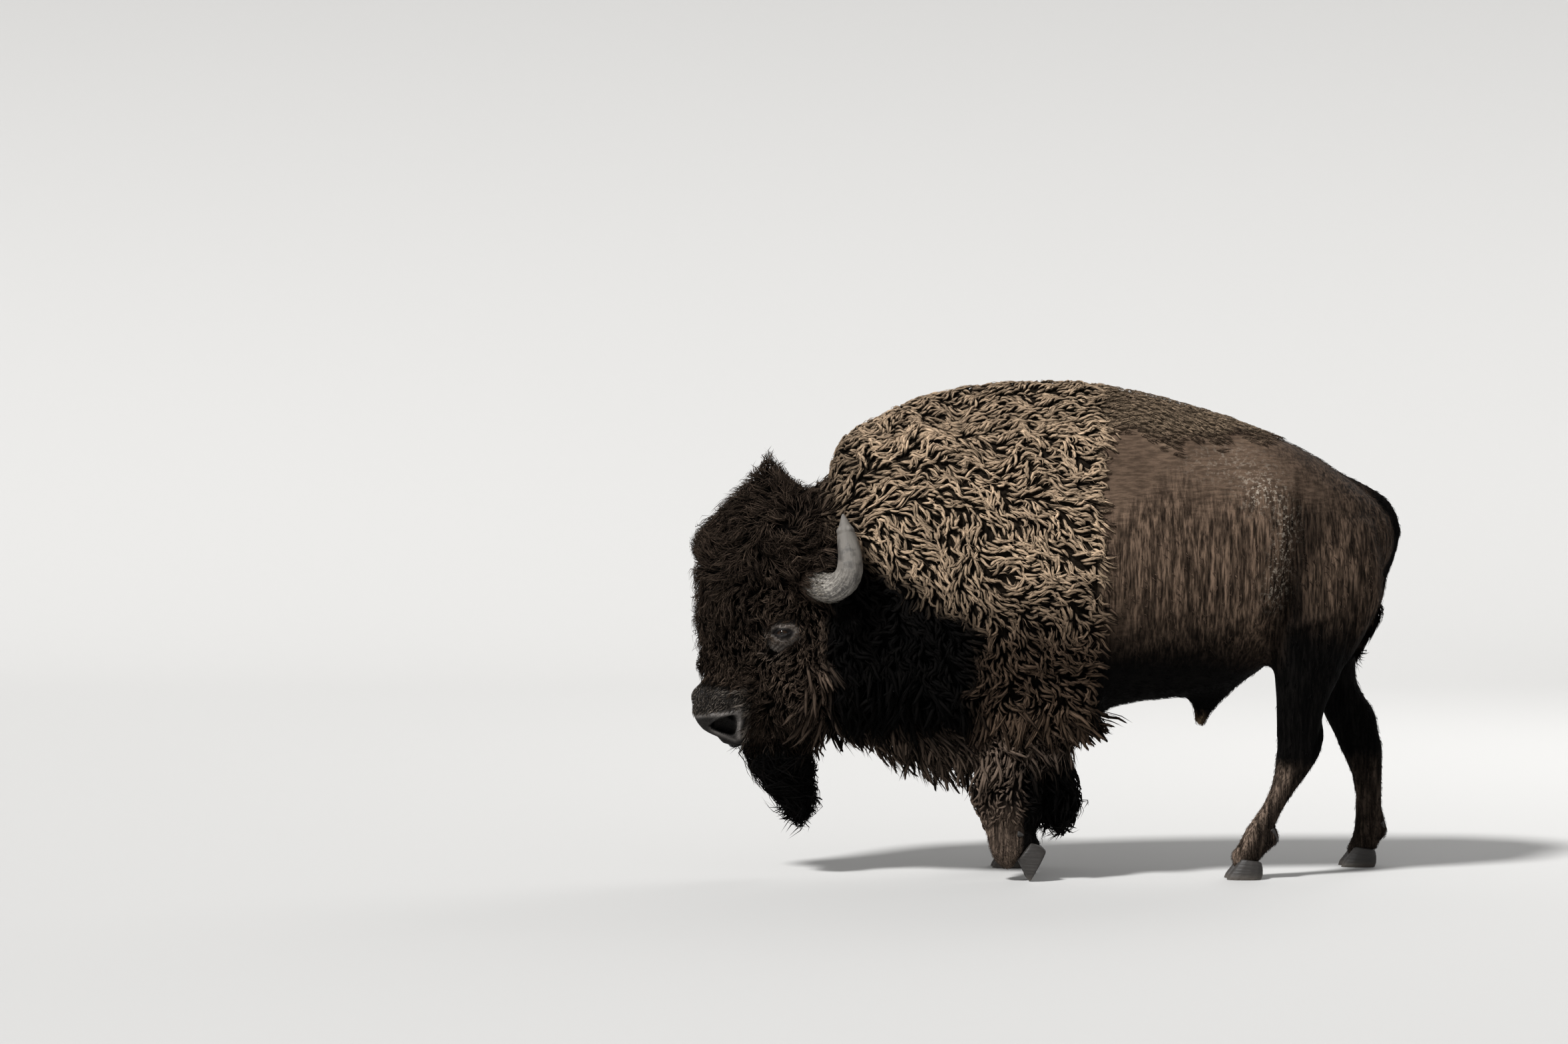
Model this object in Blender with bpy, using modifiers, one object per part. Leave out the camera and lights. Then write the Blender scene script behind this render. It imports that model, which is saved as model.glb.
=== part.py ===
"""Bull American bison, walking with its head lowered: a still, life-size museum model.

Metres, +Z up. The head points along -X, the animal's left side faces -Y, and the origin is on the floor
under the middle of the model. The solids reach to the tips of the coat. The flesh is shaped whole from
lofted forms, which a voxel remesh joins and smooths, and is then parted by thin cuts into named nodes.
Horns, eyes, ears, tail and hooves are solids of their own, each in a socket that the flesh leaves for it.
"""

import math

import bmesh
import bpy
import numpy as np
from mathutils import Euler, Matrix, Vector

# Driving dimensions of the animal.
HUMP_HEIGHT = 1.80
HORN_BASE_RADIUS = 0.050
EYE_RADIUS = 0.026
EAR_LENGTH = 0.15
HOOF_LENGTH = 0.135
HOOF_HEIGHT = 0.068
CLAW_HALF_WIDTH = 0.029
TAIL_RADIUS = 0.026

# How finely the flesh is made, and how it is parted.
GAP = 0.0004
VOXEL = 0.017
SMOOTH_PASSES = 5
FLESH_TRIANGLES = 2700
RING_POINTS = 28
STEPS_PER_CUT = 5

COLOURS = {
    "cape": (0.150, 0.098, 0.060),
    "dark_coat": (0.022, 0.015, 0.011),
    "rear_coat": (0.070, 0.045, 0.030),
    "horn": (0.300, 0.270, 0.230),
    "hoof": (0.035, 0.030, 0.027),
    "eye": (0.010, 0.007, 0.005),
}
ROUGHNESS = {"horn": 0.45, "hoof": 0.55, "eye": 0.08}
PLAIN_ROUGHNESS = 0.85


def cut(a, b, half, y=0.0, widest=0.5, n_a=2.0, n_b=2.0):
    """One section of a form. It runs from outline point a to outline point b, both (x, z), in the plane
    of depth y. half is its half width, reached at the share widest of the way from a to b, and n_a and
    n_b are the superellipse powers towards a and b: 2 is round, less is pointed, more is square."""
    return (*a, *b, half, y, widest, n_a, n_b)


def other_side(rows):
    """The same sections, mirrored across the animal."""
    return tuple((*row[:5], -row[5], *row[6:]) for row in rows)


# Neck, hump, ribs and rump: a is on the back, b on the belly.
TRUNK = (
    cut((-0.920, 1.365), (-0.860, 0.645), 0.200, widest=0.50),
    cut((-0.815, 1.440), (-0.760, 0.505), 0.262, widest=0.52),
    cut((-0.740, 1.595), (-0.635, 0.460), 0.300, widest=0.56, n_a=1.80, n_b=1.70),
    cut((-0.620, 1.675), (-0.520, 0.420), 0.335, widest=0.58, n_a=1.65, n_b=1.70),
    cut((-0.435, 1.755), (-0.400, 0.380), 0.368, widest=0.57, n_a=1.52, n_b=1.75),
    cut((-0.255, 1.795), (-0.250, 0.350), 0.392, widest=0.56, n_a=1.45, n_b=1.75),
    cut((-0.060, HUMP_HEIGHT + 0.009), (-0.110, 0.440), 0.398, widest=0.58, n_a=1.45, n_b=1.90),
    cut((0.110, 1.805), (0.095, 0.520), 0.388, widest=0.58, n_a=1.48, n_b=2.00),
    cut((0.290, 1.770), (0.270, 0.610), 0.370, widest=0.59, n_a=1.60, n_b=2.10),
    cut((0.475, 1.726), (0.455, 0.635), 0.362, widest=0.59, n_a=1.75, n_b=2.15),
    cut((0.655, 1.671), (0.660, 0.660), 0.350, widest=0.55, n_a=1.90, n_b=2.15),
    cut((0.840, 1.603), (0.825, 0.765), 0.322, widest=0.45, n_a=2.05, n_b=2.10),
    cut((1.000, 1.518), (0.955, 0.850), 0.285, widest=0.42, n_a=2.10, n_b=2.00),
    cut((1.125, 1.430), (1.095, 0.915), 0.232, widest=0.45, n_a=2.10),
    cut((1.225, 1.350), (1.190, 1.025), 0.160, widest=0.50),
    cut((1.275, 1.265), (1.265, 1.145), 0.075, widest=0.50),
)

# Bonnet, face and muzzle: a is on the forehead side, b on the throat side.
HEAD = (
    cut((-1.035, 1.555), (-0.985, 1.555), 0.024),
    cut((-1.070, 1.510), (-0.925, 1.500), 0.092),
    cut((-1.145, 1.440), (-0.845, 1.430), 0.160, widest=0.52),
    cut((-1.220, 1.365), (-0.770, 1.360), 0.210, widest=0.54),
    cut((-1.275, 1.275), (-0.720, 1.270), 0.244, widest=0.56, n_a=2.1),
    cut((-1.295, 1.155), (-0.700, 1.155), 0.254, widest=0.58, n_a=2.1),
    cut((-1.295, 1.055), (-0.700, 1.055), 0.242, widest=0.60, n_a=2.0),
    cut((-1.290, 0.960), (-0.720, 0.955), 0.212, widest=0.62, n_a=1.9),
    cut((-1.290, 0.875), (-0.740, 0.870), 0.190, widest=0.64, n_a=1.8),
    cut((-1.290, 0.790), (-0.760, 0.775), 0.176, widest=0.66, n_a=1.9),
    cut((-1.290, 0.725), (-0.790, 0.685), 0.158, widest=0.66, n_a=2.0),
    cut((-1.270, 0.660), (-0.860, 0.605), 0.128, widest=0.60, n_a=2.2),
    cut((-1.275, 0.585), (-0.960, 0.540), 0.098, widest=0.52, n_a=2.5),
    cut((-1.240, 0.525), (-1.030, 0.495), 0.082, widest=0.50, n_a=2.4),
    cut((-1.175, 0.480), (-1.075, 0.470), 0.042, widest=0.50),
)

# The throat's hair between the jaw and the chest.
THROAT = (
    cut((-1.055, 0.805), (-0.800, 0.965), 0.170),
    cut((-1.075, 0.650), (-0.740, 0.705), 0.185),
    cut((-1.070, 0.550), (-0.745, 0.550), 0.135),
    cut((-1.055, 0.490), (-0.790, 0.485), 0.080),
)

# The beard: a is its front edge, b its rear edge.
BEARD = (
    cut((-1.120, 0.530), (-0.800, 0.535), 0.098),
    cut((-1.095, 0.435), (-0.825, 0.450), 0.090),
    cut((-1.055, 0.345), (-0.845, 0.370), 0.078),
    cut((-0.990, 0.260), (-0.830, 0.300), 0.062),
    cut((-0.930, 0.210), (-0.835, 0.245), 0.042),
    cut((-0.890, 0.185), (-0.855, 0.205), 0.016),
)

FORE_Y, HIND_Y = 0.205, 0.180

# The left foreleg to below its knee, with the long hair behind it: a is its front, b its back.
FOREARM_LEFT = (
    cut((-0.260, 1.060), (0.095, 1.060), 0.100, -FORE_Y - 0.035),
    cut((-0.255, 0.815), (0.115, 0.815), 0.112, -FORE_Y - 0.030),
    cut((-0.245, 0.645), (0.140, 0.615), 0.112, -FORE_Y - 0.015),
    cut((-0.245, 0.520), (0.070, 0.495), 0.098, -FORE_Y),
    cut((-0.255, 0.430), (0.095, 0.415), 0.094, -FORE_Y),
    cut((-0.300, 0.350), (0.120, 0.330), 0.088, -FORE_Y, widest=0.45),
    cut((-0.280, 0.255), (0.110, 0.240), 0.070, -FORE_Y, widest=0.45),
    cut((-0.225, 0.185), (0.065, 0.170), 0.036, -FORE_Y, widest=0.45),
)
CANNON_LEFT = (
    cut((-0.290, 0.325), (-0.180, 0.360), 0.052, -FORE_Y),
    cut((-0.265, 0.245), (-0.170, 0.285), 0.046, -FORE_Y),
    cut((-0.240, 0.170), (-0.155, 0.215), 0.042, -FORE_Y),
    cut((-0.222, 0.095), (-0.130, 0.160), 0.054, -FORE_Y),
    cut((-0.178, 0.045), (-0.100, 0.142), 0.054, -FORE_Y),
    cut((-0.120, 0.025), (-0.062, 0.132), 0.050, -FORE_Y),
    cut((-0.080, 0.020), (-0.030, 0.122), 0.044, -FORE_Y),
)
FOREARM_RIGHT = (
    cut((-0.225, 1.040), (0.145, 1.040), 0.100, FORE_Y + 0.035),
    cut((-0.210, 0.790), (0.165, 0.785), 0.112, FORE_Y + 0.030),
    cut((-0.185, 0.610), (0.185, 0.580), 0.108, FORE_Y + 0.015),
    cut((-0.175, 0.485), (0.105, 0.460), 0.092, FORE_Y),
    cut((-0.175, 0.390), (0.110, 0.380), 0.086, FORE_Y),
    cut((-0.180, 0.310), (0.125, 0.300), 0.080, FORE_Y),
    cut((-0.160, 0.220), (0.115, 0.210), 0.062, FORE_Y),
    cut((-0.100, 0.170), (0.075, 0.165), 0.034, FORE_Y),
)
CANNON_RIGHT = (
    cut((-0.170, 0.330), (-0.060, 0.330), 0.055, FORE_Y),
    cut((-0.150, 0.240), (-0.060, 0.240), 0.045, FORE_Y),
    cut((-0.140, 0.175), (-0.060, 0.175), 0.041, FORE_Y),
    cut((-0.160, 0.115), (-0.050, 0.125), 0.053, FORE_Y),
    cut((-0.180, 0.070), (-0.070, 0.065), 0.052, FORE_Y),
    cut((-0.195, 0.035), (-0.085, 0.030), 0.050, FORE_Y),
)

# The fringe behind each elbow, for the left side.
ELBOW = (
    cut((-0.040, 0.725), (0.185, 0.690), 0.080, -FORE_Y - 0.040),
    cut((0.030, 0.630), (0.190, 0.622), 0.072, -FORE_Y - 0.035),
    cut((0.080, 0.565), (0.180, 0.556), 0.048, -FORE_Y - 0.030),
    cut((0.125, 0.528), (0.162, 0.528), 0.018, -FORE_Y - 0.030),
)

# The hind legs: a is the front, b the back.
HIND_LEFT = (
    cut((0.780, 1.305), (1.175, 1.300), 0.120, -HIND_Y + 0.020),
    cut((0.780, 1.065), (1.210, 1.065), 0.140, -HIND_Y - 0.010),
    cut((0.785, 0.890), (1.150, 0.890), 0.128, -HIND_Y - 0.008),
    cut((0.800, 0.750), (1.070, 0.750), 0.104, -HIND_Y),
    cut((0.805, 0.635), (1.005, 0.615), 0.080, -HIND_Y),
    cut((0.810, 0.520), (1.005, 0.515), 0.064, -HIND_Y),
    cut((0.820, 0.425), (0.980, 0.455), 0.059, -HIND_Y),
    cut((0.800, 0.320), (0.915, 0.360), 0.048, -HIND_Y),
    cut((0.750, 0.225), (0.845, 0.265), 0.043, -HIND_Y),
    cut((0.695, 0.145), (0.805, 0.180), 0.054, -HIND_Y),
    cut((0.655, 0.090), (0.770, 0.085), 0.053, -HIND_Y),
    cut((0.635, 0.045), (0.755, 0.030), 0.050, -HIND_Y),
)
HIND_RIGHT = (
    cut((0.900, 1.290), (1.250, 1.290), 0.120, HIND_Y - 0.020),
    cut((0.900, 1.065), (1.295, 1.065), 0.140, HIND_Y + 0.010),
    cut((0.920, 0.910), (1.240, 0.885), 0.126, HIND_Y + 0.008),
    cut((0.960, 0.770), (1.175, 0.745), 0.102, HIND_Y),
    cut((1.010, 0.640), (1.200, 0.650), 0.078, HIND_Y),
    cut((1.060, 0.525), (1.255, 0.575), 0.063, HIND_Y),
    cut((1.120, 0.430), (1.270, 0.465), 0.059, HIND_Y),
    cut((1.165, 0.320), (1.270, 0.330), 0.048, HIND_Y),
    cut((1.175, 0.205), (1.270, 0.210), 0.043, HIND_Y),
    cut((1.165, 0.135), (1.285, 0.140), 0.054, HIND_Y),
    cut((1.140, 0.080), (1.255, 0.075), 0.053, HIND_Y),
    cut((1.125, 0.045), (1.250, 0.030), 0.050, HIND_Y),
)

# Where the forelegs part from the chest, in the XZ plane.
FORELEG_OUTLINE = (
    (-0.275, 0.480), (0.240, 0.575), (0.240, -0.100), (-0.360, -0.100), (-0.360, 0.340), (-0.275, 0.375),
)

# The sheath under the belly, down to the tip of its hair.
SHEATH = (
    cut((0.505, 0.695), (0.730, 0.695), 0.060),
    cut((0.535, 0.630), (0.650, 0.625), 0.050),
    cut((0.540, 0.570), (0.610, 0.575), 0.036),
    cut((0.550, 0.510), (0.585, 0.515), 0.018),
)

FLESH = (
    ELBOW, other_side(ELBOW), TRUNK, HEAD, THROAT, BEARD, SHEATH,
    FOREARM_LEFT, CANNON_LEFT, FOREARM_RIGHT, CANNON_RIGHT, HIND_LEFT, HIND_RIGHT,
)

# Each foot: the middle of its sole, its pitch in degrees with the toe going down, and its leg's side.
FEET = {
    "fore_left": ((-0.043, 0.000), 62.0, -FORE_Y),
    "fore_right": ((-0.104, 0.000), 0.0, FORE_Y),
    "hind_left": ((0.706, 0.000), 0.0, -HIND_Y),
    "hind_right": ((1.186, 0.000), 0.0, HIND_Y),
}

# The dewclaws behind each fetlock: their middle, and how far they lean back from straight down.
DEWCLAWS = {
    "fore_left": ((-0.096, 0.168), 82.0),
    "fore_right": ((-0.036, 0.118), 22.0),
    "hind_left": ((0.808, 0.158), 30.0),
    "hind_right": ((1.270, 0.140), 20.0),
}

# The left horn's middle line: out from the skull, back, and up. (x, y, z, share of the base radius)
HORN_LINE = (
    (-0.880, -0.120, 1.085, 0.96),
    (-0.852, -0.205, 1.070, 1.00),
    (-0.806, -0.285, 1.056, 1.00),
    (-0.762, -0.342, 1.068, 0.98),
    (-0.732, -0.370, 1.112, 0.94),
    (-0.728, -0.366, 1.165, 0.86),
    (-0.737, -0.350, 1.220, 0.74),
    (-0.748, -0.336, 1.264, 0.42),
    (-0.752, -0.322, 1.318, 0.06),
)
# The tail's middle line, (x, z, share of the tail radius), and the hair at its end.
TAIL_LINE = (
    (1.000, 1.472, 1.10), (1.096, 1.432, 1.12), (1.182, 1.388, 1.06), (1.248, 1.330, 1.00),
    (1.279, 1.258, 0.92), (1.270, 1.180, 0.84), (1.242, 1.090, 0.78), (1.212, 1.010, 0.80),
)
TAIL_TUFT_LINE = ((1.212, 1.010, 0.95), (1.194, 0.960, 1.45), (1.168, 0.895, 1.50),
                  (1.148, 0.830, 1.05), (1.136, 0.790, 0.40))
EYE_CENTRE = (-0.957, 0.172, 0.889)
EAR_ROOT = (-0.790, 0.200, 0.985)
EAR_DIRECTION = (0.52, 0.80, -0.30)


# --- building blocks -------------------------------------------------------------------------------


def clear_scene():
    for obj in list(bpy.data.objects):
        bpy.data.objects.remove(obj, do_unlink=True)


def new_collection(name, hidden=False):
    collection = bpy.data.collections.new(name)
    collection.hide_render = hidden
    bpy.context.scene.collection.children.link(collection)
    return collection


def material(name):
    made = bpy.data.materials.new(name)
    made.use_nodes = True
    shader = made.node_tree.nodes["Principled BSDF"]
    shader.inputs["Base Color"].default_value = (*COLOURS[name], 1.0)
    shader.inputs["Roughness"].default_value = ROUGHNESS.get(name, PLAIN_ROUGHNESS)
    return made


def smooth_rows(rows, steps):
    """Rows between the given ones, on a Catmull-Rom curve through all their numbers at once."""
    rows = np.array(rows, float)
    ends = np.vstack([2 * rows[0] - rows[1], rows, 2 * rows[-1] - rows[-2]])
    made = []
    for i in range(len(rows) - 1):
        p0, p1, p2, p3 = ends[i : i + 4]
        for t in np.arange(steps) / steps:
            made.append(
                0.5 * (2 * p1 + (p2 - p0) * t + (2 * p0 - 5 * p1 + 4 * p2 - p3) * t**2
                       + (3 * p1 - p0 - 3 * p2 + p3) * t**3)
            )
    return np.array(made + [rows[-1]])


def ring(row, around):
    """The closed superellipse of one section, as points in space."""
    a, b = row[0:2], row[2:4]
    half, y, widest, n_a, n_b = row[4:9]
    angle = 2 * math.pi * np.arange(around) / around
    along, across = np.cos(angle), np.sin(angle)
    power = 2 / np.where(along > 0, n_a, n_b)
    side = np.sign(across) * np.abs(across) ** power * half
    reach = np.abs(along) ** power * np.where(along > 0, -widest, 1 - widest)
    middle = a + widest * (b - a)
    plane = middle + reach[:, None] * (b - a)
    return np.column_stack([plane[:, 0], y + side, plane[:, 1]])


def add_loft(bm, rows, around=RING_POINTS, steps=STEPS_PER_CUT):
    """Adds one closed form to bm: its rings joined by quads, and a fan at each end."""
    rings = [[bm.verts.new(p) for p in ring(row, around)] for row in smooth_rows(rows, steps)]
    for low, high in zip(rings, rings[1:]):
        for k in range(around):
            bm.faces.new((low[k], low[k - 1], high[k - 1], high[k]))
    for end, turn in ((rings[0], 1), (rings[-1], -1)):
        middle = bm.verts.new(sum((v.co for v in end), Vector()) / around)
        for k in range(around):
            bm.faces.new((end[k - 1], end[k], middle)[::turn])


def object_from(bm, name, collection, made_of=None):
    bmesh.ops.recalc_face_normals(bm, faces=bm.faces)
    mesh = bpy.data.meshes.new(name)
    bm.to_mesh(mesh)
    bm.free()
    obj = bpy.data.objects.new(name, mesh)
    collection.objects.link(obj)
    if made_of:
        mesh.materials.append(made_of)
    return obj


def applied(obj):
    """Replaces the object's mesh by the one that its modifiers make."""
    graph = bpy.context.evaluated_depsgraph_get()
    mesh = bpy.data.meshes.new_from_object(obj.evaluated_get(graph))
    obj.modifiers.clear()
    obj.data = mesh
    return obj


def boolean(obj, other, operation):
    modifier = obj.modifiers.new(operation.lower(), "BOOLEAN")
    modifier.operation = operation
    modifier.object = other
    return applied(obj)


def copy_of(obj, name, collection):
    made = bpy.data.objects.new(name, obj.data.copy())
    collection.objects.link(made)
    return made


def grown(obj, by, collection):
    """A copy whose surface is moved out by a little, as a cutter that leaves a gap."""
    made = copy_of(obj, obj.name + "_grown", collection)
    bm = bmesh.new()
    bm.from_mesh(made.data)
    bm.normal_update()
    moves = [v.normal * by * v.calc_shell_factor() for v in bm.verts]
    for vert, move in zip(bm.verts, moves):
        vert.co += move
    bm.to_mesh(made.data)
    bm.free()
    return made


def halved(obj, point, normal, name, collection):
    """Cuts obj by a plane. obj keeps what lies behind it, and a new object holds what lies in front."""
    point, normal = Vector(point), Vector(normal).normalized()
    made = copy_of(obj, name, collection)
    for target, sign in ((obj, -1), (made, 1)):
        bm = bmesh.new()
        bm.from_mesh(target.data)
        bmesh.ops.bisect_plane(
            bm, geom=bm.verts[:] + bm.edges[:] + bm.faces[:], dist=1e-7,
            plane_co=point + normal * sign * GAP / 2, plane_no=normal,
            clear_inner=sign > 0, clear_outer=sign < 0,
        )
        bmesh.ops.holes_fill(bm, edges=[e for e in bm.edges if e.is_boundary])
        bmesh.ops.recalc_face_normals(bm, faces=bm.faces)
        bm.to_mesh(target.data)
        bm.free()
    return made


def block(name, low, high, corners, collection):
    """A cutter between the depths low and high, whose outline in the XZ plane is corners."""
    bm = bmesh.new()
    near, far = ([bm.verts.new((x, y, z)) for x, z in corners] for y in (low, high))
    bm.faces.new(near)
    bm.faces.new(far[::-1])
    for k in range(len(corners)):
        bm.faces.new((near[k], near[k - 1], far[k - 1], far[k]))
    return object_from(bm, name, collection)


def taken_out(obj, cutter, name, collection):
    """Parts obj by a closed cutter: a new object holds what is inside it, less a gap all round."""
    made = boolean(copy_of(obj, name, collection), cutter, "INTERSECT")
    boolean(obj, grown(cutter, GAP, cutter.users_collection[0]), "DIFFERENCE")
    return made


def keep_largest(obj):
    """Drops the crumbs that a cut leaves, and keeps the one closed body of most faces."""
    bm = bmesh.new()
    bm.from_mesh(obj.data)
    left, groups = set(bm.verts), []
    while left:
        group, stack = set(), [left.pop()]
        while stack:
            vert = stack.pop()
            group.add(vert)
            near = {edge.other_vert(vert) for edge in vert.link_edges} & left
            left -= near
            stack.extend(near)
        groups.append(group)
    groups.sort(key=len)
    bmesh.ops.delete(bm, geom=[v for group in groups[:-1] for v in group], context="VERTS")
    bm.to_mesh(obj.data)
    bm.free()


def tube(name, line, radius, collection, made_of, sides=3, steps=2):
    """A tapering tube on a smooth line of (x, y, z, share of the radius), with its ends closed."""
    line = smooth_rows(line, steps)
    curve = bpy.data.curves.new(name, "CURVE")
    curve.dimensions = "3D"
    curve.bevel_depth = radius
    curve.bevel_resolution = sides
    curve.use_fill_caps = True
    spline = curve.splines.new("POLY")
    spline.points.add(len(line) - 1)
    for point, row in zip(spline.points, line):
        point.co = (*row[:3], 1)
        point.radius = row[3]
    guide = bpy.data.objects.new(name + "_line", curve)
    collection.objects.link(guide)
    bpy.context.view_layer.update()
    graph = bpy.context.evaluated_depsgraph_get()
    mesh = bpy.data.meshes.new_from_object(guide.evaluated_get(graph))
    bpy.data.objects.remove(guide)
    bm = bmesh.new()
    bm.from_mesh(mesh)
    bmesh.ops.remove_doubles(bm, verts=bm.verts, dist=1e-5)
    return object_from(bm, name, collection, made_of)


# --- the pieces that sit in the flesh --------------------------------------------------------------


def mirrored(line, side):
    """The line as given for the left side, or mirrored across the animal for the right."""
    return [(x, y * (1 if side == "left" else -1), *rest) for x, y, *rest in line]


def make_horn(side, collection, made_of):
    return tube(f"horn_{side}", mirrored(HORN_LINE, side), HORN_BASE_RADIUS, collection, made_of, 2, 2)


def make_eye(side, collection, made_of):
    bm = bmesh.new()
    bmesh.ops.create_uvsphere(bm, u_segments=12, v_segments=7, radius=EYE_RADIUS)
    x, y, z = EYE_CENTRE
    bmesh.ops.translate(bm, verts=bm.verts, vec=(x, -y if side == "left" else y, z))
    return object_from(bm, f"eye_{side}", collection, made_of)


def make_ear(side, collection, made_of):
    """A hairy leaf: a sphere drawn out, flattened and hollowed a little in front."""
    bm = bmesh.new()
    bmesh.ops.create_uvsphere(bm, u_segments=10, v_segments=8, radius=1.0)
    for vert in bm.verts:
        along = (vert.co.z + 1) / 2
        width = math.sin(math.pi * along**0.8) ** 0.8 if 0 < along < 1 else 0.0
        flat = vert.co.xy.normalized() if vert.co.xy.length > 1e-6 else Vector((0, 0))
        dish = 0.012 * flat.y**2 * width
        vert.co = (
            flat.x * (0.006 + 0.010 * width) * min(1, 4 * width) + dish,
            flat.y * 0.040 * width,
            EAR_LENGTH * along,
        )
    out = Vector(EAR_DIRECTION)
    root = Vector(EAR_ROOT)
    if side == "left":
        out.y, root.y = -out.y, -root.y
    turn = out.normalized().to_track_quat("Z", "X").to_matrix().to_4x4()
    bmesh.ops.remove_doubles(bm, verts=bm.verts, dist=1e-5)
    bmesh.ops.transform(bm, matrix=Matrix.Translation(root) @ turn, verts=bm.verts)
    return object_from(bm, f"ear_{side}", collection, made_of)


def hollow(name, centre, radii, turn=(0.0, 0.0, 0.0)):
    """A turned ellipsoid, as a cutter for a hollow in the surface."""
    bm = bmesh.new()
    bmesh.ops.create_uvsphere(bm, u_segments=12, v_segments=8, radius=1.0)
    shape = Matrix.LocRotScale(Vector(centre), Euler([math.radians(t) for t in turn]), Vector(radii))
    bmesh.ops.transform(bm, matrix=shape, verts=bm.verts)
    return object_from(bm, name, HELPERS)


def foot_matrix(foot):
    """From a foot's own frame, toe along -X on a floor at 0, to its place on the animal."""
    (x, z), pitch, y = FEET[foot]
    return Matrix.Translation((x, y, z)) @ Matrix.Rotation(math.radians(-pitch), 4, "Y")


def toe_point():
    return Vector((-HOOF_LENGTH * 0.55, 0, 0))


def placed_foot(foot):
    """foot_matrix, lifted for a pitched foot so that only the tip of its toe is on the floor."""
    matrix = foot_matrix(foot)
    pitch = FEET[foot][1]
    if not pitch:
        return matrix
    lowest = (matrix @ toe_point()).z
    return Matrix.Translation((0, 0, -lowest - TOE_FLAT)) @ matrix


TOE_FLAT = 0.004


def make_claw(foot, side, collection, made_of):
    """Half of a cloven hoof: a wedge with a sloping wall in front and a low bulb behind."""
    toe, heel = -0.55 * HOOF_LENGTH, 0.45 * HOOF_LENGTH
    y = CLAW_HALF_WIDTH * 1.08 * (1 if side == "outer" else -1) * (1 if FEET[foot][2] > 0 else -1)
    rows = (
        cut((toe, 0.000), (heel - 0.006, 0.000), CLAW_HALF_WIDTH, y, 0.58, 2.0, 2.4),
        cut((toe + 0.008, 0.018), (heel, 0.016), CLAW_HALF_WIDTH, y, 0.58, 2.0, 2.4),
        cut((toe + 0.030, 0.045), (heel, 0.040), CLAW_HALF_WIDTH * 0.96, y, 0.56, 2.1, 2.4),
        cut((toe + 0.052, 0.076), (heel - 0.006, 0.066), CLAW_HALF_WIDTH * 0.88, y, 0.54, 2.2, 2.4),
    )
    bm = bmesh.new()
    add_loft(bm, rows, around=12, steps=1)
    claw = object_from(bm, f"hoof_{foot}_{side}", collection, made_of)
    claw.data.transform(placed_foot(foot))
    if FEET[foot][1]:
        floor = block("floor", -1, 1, ((-2, 0), (2, 0), (2, -1), (-2, -1)), HELPERS)
        boolean(claw, floor, "DIFFERENCE")
    return claw


def coronet_block(foot):
    """The space of the hooves under one foot's coronet, which the flesh leaves free."""
    half = 2.6 * CLAW_HALF_WIDTH
    front, back = -0.16, 0.14
    corners = ((front, 0.098), (back, 0.050), (back, -0.2), (front, -0.2))
    made = block(f"coronet_{foot}", -half, half, corners, HELPERS)
    made.data.transform(placed_foot(foot))
    return made


def make_dewclaw(foot, side, collection, made_of):
    """A small horny cone behind the fetlock."""
    bm = bmesh.new()
    bmesh.ops.create_cone(
        bm, cap_ends=True, segments=8, radius1=0.014, radius2=0.006, depth=0.052,
    )
    outwards = (1 if side == "outer" else -1) * (1 if FEET[foot][2] > 0 else -1)
    (x, z), lean = DEWCLAWS[foot]
    turn = Matrix.Rotation(math.radians(180 - lean), 4, "Y")
    place = Matrix.Translation((x, FEET[foot][2] + 0.024 * outwards, z))
    bmesh.ops.transform(bm, matrix=place @ turn, verts=bm.verts)
    return object_from(bm, f"dewclaw_{foot}_{side}", collection, made_of)


def make_tail(collection, made_of):
    line = [(x, 0.0, z, share) for x, z, share in TAIL_LINE]
    return tube("tail", line, TAIL_RADIUS, collection, made_of, 2, 2)


def make_tail_tuft(tail, collection, made_of):
    line = [(x, 0.0, z, share) for x, z, share in TAIL_TUFT_LINE]
    tuft = tube("tail_tuft", line, TAIL_RADIUS, collection, made_of, 2, 2)
    boolean(tuft, grown(tail, 2 * GAP, HELPERS), "DIFFERENCE")
    return tuft


# --- the flesh -------------------------------------------------------------------------------------


def make_flesh(made_of):
    """The whole animal without its horny parts, as one smooth closed mesh."""
    bm = bmesh.new()
    for rows in FLESH:
        add_loft(bm, rows)
    whole = object_from(bm, "whole", HELPERS, made_of)
    remesh = whole.modifiers.new("join", "REMESH")
    remesh.mode = "VOXEL"
    remesh.voxel_size = VOXEL
    applied(whole)
    bm = bmesh.new()
    bm.from_mesh(whole.data)
    for _ in range(SMOOTH_PASSES):
        bmesh.ops.smooth_vert(
            bm, verts=bm.verts, factor=0.5, use_axis_x=True, use_axis_y=True, use_axis_z=True
        )
    bmesh.ops.triangulate(bm, faces=bm.faces)
    bm.to_mesh(whole.data)
    bm.free()
    decimate = whole.modifiers.new("lighten", "DECIMATE")
    decimate.ratio = FLESH_TRIANGLES / len(whole.data.polygons)
    return applied(whole)


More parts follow.
